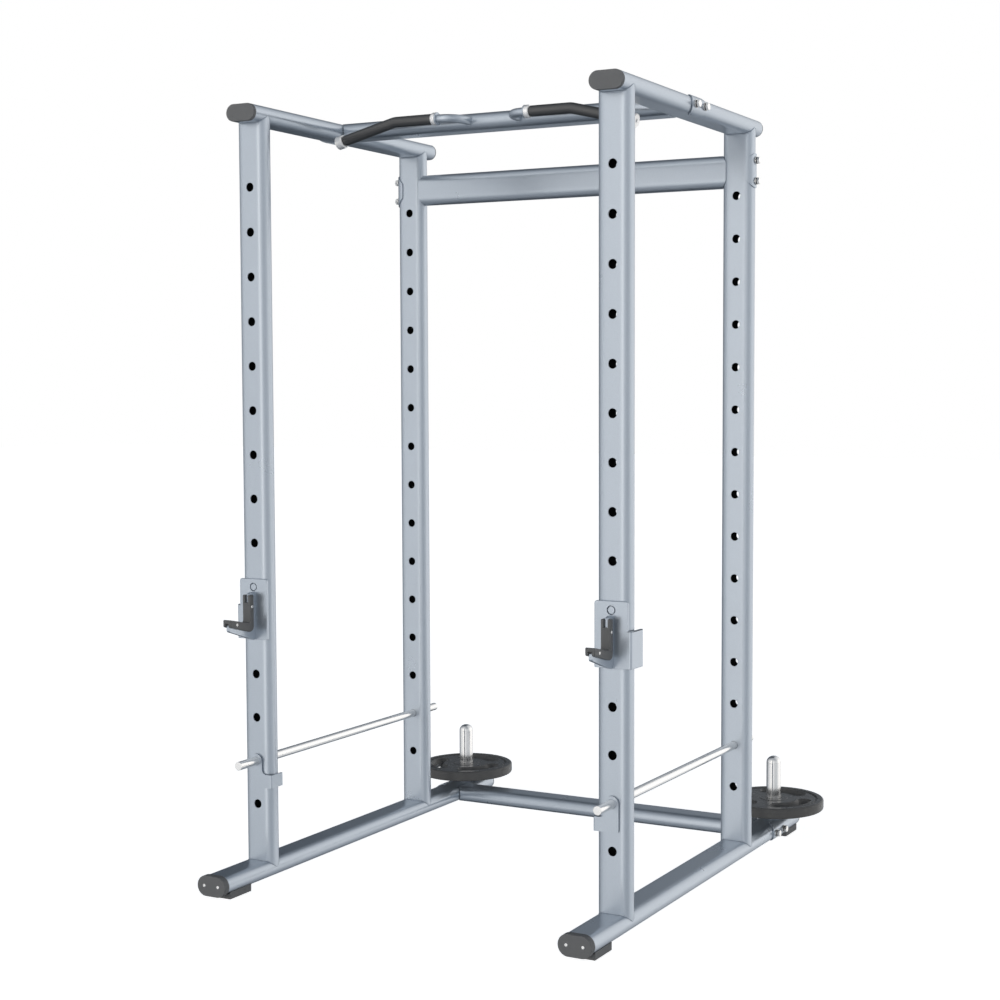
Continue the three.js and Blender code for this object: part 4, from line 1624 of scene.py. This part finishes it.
    def add_collar(self) -> None:
        """Builds the collar that closes the handle's end, turned about the last straight."""
        node = f"{self.stem}_collar"
        radius, deep, long = self.collar / 2, -self.socket_deep, -self.collar_long
        corners = [
            (0, deep), (self.socket, deep), (self.socket, 0), (radius, 0), (radius, long),
            (0, long),
        ]
        radii = [0, BROKEN, 0.8 * MM, 2.5 * MM, 2 * MM, 0]
        rows = turned(profile(corners, radii, 6), self.sides)
        ahead = np.array([0.0, 1.0, 0.0])
        axes = np.stack([ahead, np.cross(self.outward, ahead), self.outward])
        piece = Skin().grid(rows @ axes + self.end_at).made(f"{node}_turning")
        dress(piece, FIXED, node, ALUMINIUM)


# ---------------------------------------------------------------- barbell hooks


@dataclass
class BarbellHook:
    """A barbell hook: plate with its pin and side wing, blade and moulded liner.

    Its own frame has X outward from the upright's axis, Y from the upright's front face to the
    rear, and Z from the pin's axis. The corners of the blade and the liner are Y, Z and the round
    there, in millimetres, and the liner's double corners are where its notches end. The plate's
    outer edge is round from a height above its foot, and sharper below.
    """

    side: Side
    pin_above: float = 20 * MM
    half: float = 50 * MM
    above: float = 24.5 * MM
    below: float = 155 * MM
    thick: float = 8 * MM
    edge: float = 2.2 * MM
    cut_edge: float = 0.8 * MM
    foot_round: float = 3 * MM
    top_round: float = 8 * MM
    edge_from: float = 2 * MM
    edge_to: float = 30 * MM
    outline_step: float = 6 * MM
    pin_hole: float = 12.6 * MM
    pin_lip: float = 0.9 * MM
    pin: float = 12 * MM
    pin_end: float = 10 * MM
    pin_back: float = 70 * MM
    pin_short: float = 0.6 * MM
    pin_step: float = 0.2
    wing_top: float = 54 * MM
    wing_out: float = 61 * MM
    wing_back: float = 62 * MM
    wing_lap: float = 6 * MM
    wing_corner: float = 2.5 * MM
    wing_bend: float = 7.5 * MM
    wing_edge: float = 2.3 * MM
    blade: float = 12 * MM
    blade_corners: tuple[Vec, ...] = (
        (-34, -14, 14), (-34, -112, 6), (-126, -99, 3), (-126, -119, 7), (-18, -155, 22),
        (-4, -155, 1.7), (-4, -14, 1.7),
    )
    liner: float = 29 * MM
    liner_edge: float = 3 * MM
    liner_corners: tuple[Vec, ...] = (
        (-24, -20, 3.2), (-41, -20, 3.2), (-41, -43, 0), (-41, -43.01, 0), (-41, -103, 7),
        (-131, -83, 3.2), (-131, -93.99, 0), (-131, -94, 0), (-131, -105, 4), (-44, -128, 12),
        (-24, -128, 16),
    )
    notch: float = 12.4 * MM
    notch_from: float = -34 * MM
    notch_foot: float = -43.005 * MM
    notch_floor: float = -25.2 * MM
    tip_head: float = -93.995 * MM
    tip_floor: float = -122 * MM
    screw_spots: tuple[tuple[str, float, float], ...] = (
        ("upper", -32.5 * MM, -55 * MM), ("lower", -102 * MM, -100.5 * MM),
    )

    def build(self) -> None:
        """Builds the hook's pieces."""
        self.stem = f"{self.side.word}_hook"
        self.body = f"{self.side.word}_hook"
        self.node = f"{self.stem}_bracket"
        upright = Place.of(f"{self.side.word}_front_upright")
        liner = Place.of(f"{self.stem}_liner")
        pin_height = liner.high[2] + self.pin_above
        self.origin = np.array([upright.middle[0], upright.low[1], pin_height])
        self.front = -GAP - self.thick
        self.add_plate()
        self.add_wing()
        self.add_pin()
        self.add_blade()
        self.add_liner()
        self.add_screws()

    def seat(self, rows: Grid) -> Grid:
        """Carries X, Y and Z of the hook's own frame to the model's."""
        return rows * [self.side.value, 1, 1] + self.origin

    def faced(self, rows: Grid) -> Grid:
        """Carries a drawing whose u is X, v is Z and w points to the front to the model's frame."""
        return self.seat(np.stack([rows[..., 0], -rows[..., 2], rows[..., 1]], axis=-1))

    def sided(self, rows: Grid) -> Grid:
        """Carries a drawing whose u is Y, v is Z and w is X to the model's frame."""
        return self.seat(np.stack([rows[..., 2], rows[..., 0], rows[..., 1]], axis=-1))

    def add_plate(self) -> None:
        """Builds the plate round its pin hole.

        Formula: rings about the hole, each point on the ray of an outline point: up the hole's
        wall, over its edge, out across the face, round the outer edge, and back behind. The outer
        edge's radius grows from the foot up.
        """
        half, low, high = self.half, -self.below, self.above
        corners = [(-half, low), (half, low), (half, high), (-half, high)]
        radii = [self.foot_round, self.foot_round, self.top_round, self.top_round]
        outline = spread(rounded(corners, radii, 8), self.outline_step)
        points = outline[0]
        ray = points / np.linalg.norm(points, axis=1, keepdims=True)
        zone = [low + self.edge_from, low + self.edge_to]
        edge = np.interp(points[:, 1], zone, [self.cut_edge, self.edge])
        rings = slab(outline, GAP, -self.front, (edge, edge), steps=6)
        bore, lip, face = self.pin_hole, self.pin_lip, -self.front
        hole = [
            (bore, GAP), (bore, face - lip), (bore + 0.3 * lip, face - 0.3 * lip),
            (bore + lip, face),
        ]
        wall = np.stack([np.column_stack([ray * r, np.full(len(ray), w)]) for r, w in hole])
        rows = np.concatenate([wall, rings[::-1], wall[:1]])
        piece = Skin().grid(self.faced(rows)).made(f"{self.stem}_plate")
        dress(piece, self.body, self.node, PAINT)

    def add_wing(self) -> None:
        """Builds the wing that wraps the upright's outer side.

        Formula: an angle section carried up Z. Near its top and bottom the rear end draws back by
        r - sqrt(r^2 - d^2), d being how far the height is into the corner.
        """
        out, back, face = self.wing_out, self.wing_back, self.front + HAIR
        inner, lap = out - self.thick, self.half - self.wing_lap
        corners = [(lap, face), (out, face), (out, back), (inner, back), (inner, -GAP), (lap, -GAP)]
        edge = self.wing_edge
        section = rounded(corners, [edge, self.wing_bend, edge, edge, 1 * MM, edge], 8)
        low, high, corner = -self.below, -self.wing_top, self.wing_corner
        zone = corner * (1 - np.cos(np.linspace(0.5, QUARTER, 7)))
        stations = np.concatenate([low + zone, high - zone[::-1]])
        rows = slab(section, low, high, (self.cut_edge, self.edge), stations, steps=6)
        height, depth = rows[..., 2], rows[..., 1]
        deep = np.abs(height - (low + high) / 2) - ((high - low) / 2 - corner)
        draw = corner - np.sqrt(corner**2 - np.clip(deep, 0, corner) ** 2)
        rows[..., 1] -= np.where(depth > back / 2, draw, 0)
        piece = Skin().loft(self.seat(rows)).made(f"{self.stem}_wing")
        dress(piece, self.body, self.node, PAINT)

    def add_pin(self) -> None:
        """Builds the locating pin: a round bar with a slimmer end in the plate."""
        face, step = -self.front - self.pin_short, self.pin_step * self.thick
        corners = [
            (0, face), (self.pin_end, face), (self.pin_end, step), (self.pin, step),
            (self.pin, -self.pin_back), (0, -self.pin_back),
        ]
        rows = turned(profile(corners, [0, 1.2 * MM, 0, 0.4 * MM, 2 * MM, 0]))
        piece = Skin().grid(self.faced(rows)).made(f"{self.stem}_pin")
        dress(piece, self.body, self.node, PAINT)

    @staticmethod
    def outline(corners: Sequence[Vec]) -> Outline:
        """An outline of Y and Z, from corners and rounds in millimetres."""
        table = np.array(corners) * MM
        return rounded(table[:, :2], table[:, 2], 8)

    def add_blade(self) -> None:
        """Builds the blade: its side outline, thicker than the plate, with its edges broken."""
        half = self.blade / 2
        edges = (self.cut_edge, self.cut_edge)
        rows = slab(self.outline(self.blade_corners), -half, half, edges)
        piece = Skin().loft(self.sided(rows)).made(f"{self.stem}_blade")
        dress(piece, self.body, self.node, PAINT)

    def add_liner(self) -> None:
        """Builds the moulded liner: its outline carried along X, with a notch at each end of it.

        Formula: between the notch's sides, the points of the front face above its foot, and those
        of the tip below the notch's head, stand back to the blade.
        """
        points, normals = self.outline(self.liner_corners)
        half, notch, edge = self.liner / 2, self.notch / 2, self.liner_edge
        sides = [-notch, -notch, notch, notch]
        rows = slab((points, normals), -half, half, (edge, edge), sides, 6)
        y, z = points[:, 0], points[:, 1]
        upper = (y < self.notch_from) & (z > self.notch_foot)
        tip = (y < self.tip_floor) & (z < self.tip_head)
        middle = len(rows) // 2
        floor = np.maximum(rows[middle - 1, upper, 0], self.notch_floor)
        rows[middle - 1:middle + 1, upper, 0] = floor
        rows[middle - 1:middle + 1, tip, 0] = self.tip_floor
        node = f"{self.stem}_liner"
        piece = Skin().loft(self.sided(rows)).made(f"{node}_moulding")
        dress(piece, self.body, node, LINER_PLASTIC)

    def add_screws(self) -> None:
        """Sets a screw through each leg of the liner, seen on both its sides."""
        node = f"{self.stem}_liner"
        screw = DomeScrew(head=8.4 * MM, rise=0.7 * MM, depth=1 * MM)
        for spot, y, z in self.screw_spots:
            for seen in (Side.RIGHT, Side.LEFT):
                place = self.origin + [seen.value * self.liner / 2, y, z]
                name = f"{node}_{spot}_screw_{seen.word}"
                screw.build(name, self.body, node, seen.facing, place)


# ---------------------------------------------------------------- safety bars


@dataclass
class SafetyBar:
    """A chromed safety bar with its painted locking plate.

    Its own frame has X towards the cage's middle, Y from the upright's front face to the rear,
    and Z from the bar's axis.
    """

    side: Side
    radius: float = 12.6 * MM
    rod_edge: float = 1 * MM
    rod_sides: int = 56
    thick: float = 5 * MM
    top: float = 21 * MM
    half: float = 21 * MM
    below: float = 78 * MM
    tab_top: float = 39 * MM
    tab_out: float = 55.5 * MM
    tab_back: float = 48 * MM
    fillet: float = 14 * MM
    bend: float = 6 * MM
    corner: float = 8 * MM
    edge: float = 1.2 * MM
    rear_gap: float = 15 * MM
    weld: float = 1.4 * MM
    weld_points: int = 72

    def build(self) -> None:
        """Builds the bar, the plate and the weld between them."""
        self.node = f"{self.side.word}_safety_bar"
        self.body = f"{self.side.word}_safety"
        place = Place.of(self.node)
        upright = Place.of(f"{self.side.word}_front_upright")
        self.origin = np.array([upright.middle[0], upright.low[1], place.low[2] + self.below])
        self.front = -GAP - self.thick
        self.ends = place.low[1] - self.origin[1], place.high[1] - self.origin[1] - self.rear_gap
        self.add_bar()
        self.add_plate()
        self.add_weld()

    def seat(self, rows: Grid) -> Grid:
        """Carries X, Y and Z of the bar's own frame to the model's."""
        return rows * [-self.side.value, 1, 1] + self.origin

    def add_bar(self) -> None:
        """Builds the bar: its profile turned about Y, with a small round at both ends."""
        low, high = self.ends
        corners = [(0, low), (self.radius, low), (self.radius, high), (0, high)]
        rows = turned(profile(corners, [0, self.rod_edge, self.rod_edge, 0]), self.rod_sides)
        swung = np.stack([rows[..., 0], rows[..., 2], rows[..., 1]], axis=-1)
        piece = Skin().grid(self.seat(swung)).made(f"{self.node}_rod")
        dress(piece, self.body, self.node, CHROME)

    def add_plate(self) -> None:
        """Builds the locking plate and its bent tab as one sheet, then gives it its thickness."""
        skin = Skin()
        low, tab_top = -self.below, -self.tab_top
        turn = np.linspace(0, QUARTER, 9)
        foot = low + self.corner * (1 - np.cos(turn))
        tab_rows = np.concatenate([foot, np.linspace(foot[-1], tab_top, 5)[1:]])
        over = tab_top + self.fillet * np.sin(turn)
        dome = self.top * np.sin(np.linspace(0, QUARTER, 15))
        rows = np.concatenate([tab_rows, over[1:], np.linspace(over[-1], 0, 4)[1:], dome[1:]])
        share = np.linspace(0, 1, 13)[None]
        left, right = self.outer_edge(rows)[:, None], self.inner_edge(rows)[:, None]
        skin.grid(self.bent(left + (right - left) * share, rows[:, None]), wrap=False)
        skin.grid(self.tab(tab_rows), wrap=False)
        # The plate's cut edge takes the darker second finish: painted shade of the gap along the
        # upright.
        piece = thicken(skin.made(f"{self.node}_lock_plate"), self.thick, rim=True)
        dress(soften(piece, self.edge, 3), self.body, self.node, PAINT, SHADE_ON_EDGE)

    def straight(self, z: Grid) -> Grid:
        """The plate's half width below the dome, which goes from the top's to the tab's."""
        return self.top + (self.half - self.top) * np.clip(-z / self.tab_top, 0, 1)

    def domed(self, z: Grid, below: Grid) -> Grid:
        """The plate's half width: a half round above the bar's axis, and what is given below."""
        return np.where(z > 0, np.sqrt(np.clip(self.top**2 - z**2, 0, None)), below)

    def outer_edge(self, z: Grid) -> Grid:
        """The plate's edge on the outer side: a round foot, a straight, a half round.

        Formula: the foot is the straight's half width less c - sqrt(c^2 - d^2), with c the
        corner's radius and d how far z is into it.

        Args:
            z: heights.

        Returns:
            The X of the edge at each.
        """
        into = np.clip(-self.below + self.corner - z, 0, self.corner)
        foot = self.straight(z) - self.corner + np.sqrt(self.corner**2 - into**2)
        return -self.domed(z, foot)

    def inner_edge(self, z: Grid) -> Grid:
        """The plate's edge on the tab's side: the tab's root, a fillet, a straight, a half round.

        Formula: the fillet is the straight's half width plus f - sqrt(f^2 - d^2), with f its
        radius and d how far z is below its upper end.

        Args:
            z: heights.

        Returns:
            The X of the edge at each.
        """
        into = np.clip(z + self.tab_top - self.fillet, -self.fillet, 0)
        fillet = self.straight(z) + self.fillet - np.sqrt(self.fillet**2 - into**2)
        return self.domed(z, fillet)

    def tab(self, z: Grid) -> Grid:
        """The tab's sheet, from the fillet's root round the bend to its rear end.

        Formula: the way s along the sheet runs in equal steps to the bend, round it, and to the
        end.

        Args:
            z: heights.

        Returns:
            Rows by points by 3.
        """
        just_below = -self.tab_top - 1e-9
        root = self.inner_edge(np.array([just_below]))[0]
        begin = self.tab_out - self.bend
        around = begin + self.bend * QUARTER
        length = around + self.tab_back - self.front - self.bend
        way = np.concatenate([
            np.linspace(root, begin, 4)[:-1], np.linspace(begin, around, 9),
            np.linspace(around, length, 9)[1:],
        ])
        return self.bent(way[None], z[:, None])

    def bent(self, way: Grid, z: Grid) -> Grid:
        """Bends the flat sheet round the upright.

        Formula: straight along X to the bend, a quarter round of the bend's radius, then straight
        along Y.

        Args:
            way: places along the flat sheet.
            z: heights.

        Returns:
            The points in the model's frame.
        """
        begin = self.tab_out - self.bend
        turn = np.clip((way - begin) / self.bend, 0, QUARTER)
        past = np.clip(way - begin - self.bend * QUARTER, 0, None)
        x = np.minimum(way, begin) + self.bend * np.sin(turn)
        y = self.front + self.bend * (1 - np.cos(turn)) + past
        return self.seat(np.stack(np.broadcast_arrays(x, y, z), axis=-1))

    def add_weld(self) -> None:
        """Lays a bead round the bar where it passes the plate."""
        angle = whole_turn(self.weld_points)
        outward = np.column_stack([np.cos(angle), 0 * angle, np.sin(angle)])
        path = outward * self.radius + [0, self.front, 0]
        WeldBead(radius=self.weld).laid(
            self.seat(path), outward, np.ones(len(angle)), f"{self.node}_weld", self.body,
            self.node,
        )


# ---------------------------------------------------------------- studio


@dataclass
class Studio:
    """The floor, the light and the camera.

    The light's stops are places and brightnesses. Round the turn, 0 and 1 are the left, 0.25 the
    front, 0.5 the right and 0.75 the back. Up the height, 0 is straight down and 1 straight up.
    """

    camera_place: Vec = (2.60958, -4.62964, 1.47085)
    azimuth: float = 26.830
    downward: float = 3.741
    lens: float = 62.05
    shift: tuple[float, float] = (-0.1007, 0.0009)
    floor_size: float = 60.0
    floor_level: float = -0.5 * MM
    floor_tone: float = 0.8
    floor_roughness: float = 0.9
    floor_glow: float = 0.86
    soft_level: float = 2.75
    gloss_level: float = 1.13
    cooling: Vec = (1.1, 1.03, 0.95)
    soft_turn: Stops = (
        (0.0, 0.6), (0.09, 1.15), (0.17, 1.12), (0.325, 0.8), (0.42, 0.78), (0.5, 0.78),
        (0.675, 0.66), (0.82, 0.34), (0.92, 0.35), (1.0, 0.6),
    )
    soft_height: Stops = (
        (0.0, 0.16), (0.2, 0.25), (0.35, 0.70), (0.43, 0.9), (0.5, 1.0), (0.6, 1.0), (0.69, 0.09),
        (1.0, 0.03),
    )
    gloss_turn: Stops = (
        (0.0, 0.42), (0.06, 0.74), (0.125, 0.92), (0.17, 1.0), (0.228, 1.6), (0.264, 1.25),
        (0.297, 0.92), (0.333, 0.75), (0.375, 0.67), (0.417, 0.65), (0.458, 0.74), (0.5, 0.94),
        (0.542, 1.2), (0.611, 1.19), (0.675, 1.17), (0.736, 0.94), (0.79, 0.39), (0.825, 0.23),
        (0.86, 0.07), (0.92, 0.12), (1.0, 0.42),
    )
    gloss_height: Stops = (
        (0.0, 0.36), (0.18, 0.42), (0.33, 0.76), (0.41, 0.96), (0.5, 1.0), (0.7, 1.0),
        (0.86, 0.72), (0.95, 0.56), (1.0, 0.5),
    )

    def build(self) -> None:
        """Builds the studio round the cage."""
        bpy.context.scene.view_settings.view_transform = "Standard"
        self.add_camera()
        self.add_world()
        self.add_floor()

    def add_camera(self) -> None:
        """Sets the camera: it turns to the azimuth and looks a little down."""
        camera = bpy.data.objects.new("camera", bpy.data.cameras.new("camera"))
        bpy.context.collection.objects.link(camera)
        camera.location = self.camera_place
        camera.rotation_euler = (math.radians(90 - self.downward), 0, math.radians(self.azimuth))
        camera.data.lens = self.lens
        camera.data.shift_x, camera.data.shift_y = self.shift
        bpy.context.scene.camera = camera

    def add_world(self) -> None:
        """Sets the studio's walls as soft light, brightest level with the horizon.

        Formula: the light is the product of a brightness round the turn, atan2(y, x) / 2 pi + 1/2,
        and one up the height, (z + 1) / 2. What lights the paint comes most from the front left,
        less from the right, and little from behind and from above. Rays of gloss see walls with
        more contrast, and the camera sees white.
        """
        world = bpy.data.worlds.new("studio")
        bpy.context.scene.world = world
        world.use_nodes = True
        tree = world.node_tree
        direction = tree.nodes.new("ShaderNodeTexCoord").outputs["Generated"]
        split = tree.nodes.new("ShaderNodeSeparateXYZ")
        tree.links.new(direction, split.inputs[0])
        turn = maths(tree, "ARCTAN2", split.outputs["Y"], split.outputs["X"])
        turn = maths(tree, "MULTIPLY_ADD", turn, 0.5 / math.pi, 0.5)
        rise = maths(tree, "MULTIPLY_ADD", split.outputs["Z"], 0.5, 0.5)
        lit = []
        for background, level, turn_stops, rise_stops in (
            (tree.nodes["Background"], self.soft_level, self.soft_turn, self.soft_height),
            (self.background(tree), self.gloss_level, self.gloss_turn, self.gloss_height),
        ):
            background.inputs["Strength"].default_value = level
            colour = tree.nodes.new("ShaderNodeVectorMath")
            colour.operation = "MULTIPLY"
            tree.links.new(self.ramp(tree, turn, turn_stops), colour.inputs[0])
            tree.links.new(self.ramp(tree, rise, rise_stops), colour.inputs[1])
            tree.links.new(colour.outputs[0], background.inputs["Color"])
            lit.append(background.outputs[0])
        white = self.background(tree)
        white.inputs["Color"].default_value = (1, 1, 1, 1)
        glossy = tree.nodes.new("ShaderNodeLightPath").outputs["Is Glossy Ray"]
        shown = self.mixed(tree, glossy, *lit)
        shown = self.mixed(tree, self.seen(tree), shown, white.outputs[0])
        tree.links.new(shown, tree.nodes["World Output"].inputs["Surface"])

    @staticmethod
    def background(tree: bpy.types.NodeTree) -> bpy.types.Node:
        """Adds a Background node."""
        return tree.nodes.new("ShaderNodeBackground")

    @staticmethod
    def seen(tree: bpy.types.NodeTree) -> Socket:
        """One for the camera's rays, straight or through something clear, and else nought."""
        rays = tree.nodes.new("ShaderNodeLightPath").outputs
        return maths(tree, "MAXIMUM", rays["Is Camera Ray"], rays["Is Transmission Ray"])

    @staticmethod
    def mixed(tree: bpy.types.NodeTree, share: Socket, first: Socket, second: Socket) -> Socket:
        """Adds a Mix Shader node.

        Args:
            tree: the node tree.
            share: 0 for the first shader to 1 for the second.
            first: the first shader.
            second: the second shader.

        Returns:
            The mixed shader.
        """
        node = tree.nodes.new("ShaderNodeMixShader")
        for socket, value in zip(node.inputs, (share, first, second)):
            tree.links.new(value, socket)
        return node.outputs[0]

    def ramp(self, tree: bpy.types.NodeTree, value: Socket, stops: Stops) -> Socket:
        """Adds a smooth ramp through stops, whose dim ends are bluish.

        Formula: red, green and blue are the brightness to the cooling's three powers.

        Args:
            tree: the node tree.
            value: what runs along the ramp.
            stops: places and brightnesses.

        Returns:
            The ramp's colour.
        """
        node = tree.nodes.new("ShaderNodeValToRGB")
        node.color_ramp.interpolation = "EASE"
        elements = node.color_ramp.elements
        while len(elements) < len(stops):
            elements.new(0.5)
        for element, (place, level) in zip(elements, stops):
            element.position = place
            element.color = (*(level**power for power in self.cooling), 1)
        tree.links.new(value, node.inputs[0])
        return node.outputs[0]

    def add_floor(self) -> None:
        """Lays a pale floor that shows white and keeps the cage's shadow."""
        side = np.linspace(-self.floor_size / 2, self.floor_size / 2, 3)
        x, y = np.meshgrid(side, side)
        rows = np.stack([x, y, 0 * x + self.floor_level], axis=-1)
        floor = Skin().grid(rows, wrap=False).made("floor")
        shader = Shader("floor_white")
        tone = self.floor_tone
        shader.give("Base Color", (tone, tone, tone, 1))
        shader.give("Roughness", self.floor_roughness)
        shader.give("Specular IOR Level", 0.0)
        shader.give("Emission Color", (1, 1, 1, 1))
        glow = maths(shader.tree, "MULTIPLY", self.seen(shader.tree), self.floor_glow)
        shader.give("Emission Strength", glow)
        floor.data.materials.append(shader.material)
        floor.visible_glossy = False


# ---------------------------------------------------------------- the cage


def build_frame() -> None:
    """Builds the tubes, the caps, the feet and the bolted joints."""
    for side in Side:
        for row in ("front", "rear"):
            Upright(side, row).build()
        for level in ("bottom", "top"):
            Rail(side, level).build()
        EndCap(side, "bottom", "front", 1.6 * MM, height=60 * MM, screws=True).build()
        EndCap(side, "top", "front", 1.6 * MM).build()
        EndCap(side, "bottom", "rear", 1.5 * MM).build()
        EndCap(side, "top", "rear", 1.5 * MM).build()
        for end in ("front", "rear"):
            FootPad(side, end).build()
        for joint, upended in (("top", False), ("rear", True), ("base", False)):
            BoltedJoint(side, joint, upended).build()
    middle = float(Place.of("right_front_upright").middle[0])
    CrossTube("top_crossmember").build(middle)
    CrossTube("rear_base_beam").build(middle)
    CrossTube("rear_upper_beam", upended=True).build(middle)


def build_fittings() -> None:
    """Builds what is fitted to the frame on each side."""
    for side in Side:
        StoragePeg(side).build()
        WeightPlate(side).build()
        PullUpHandle(side).build()
        BarbellHook(side).build()
        SafetyBar(side).build()


def main() -> None:
    """Builds the studio and the cage."""
    logging.basicConfig(level=logging.INFO, format="%(message)s")
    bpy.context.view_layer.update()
    Studio().build()
    build_frame()
    build_fittings()


if __name__ == "__main__":
    main()
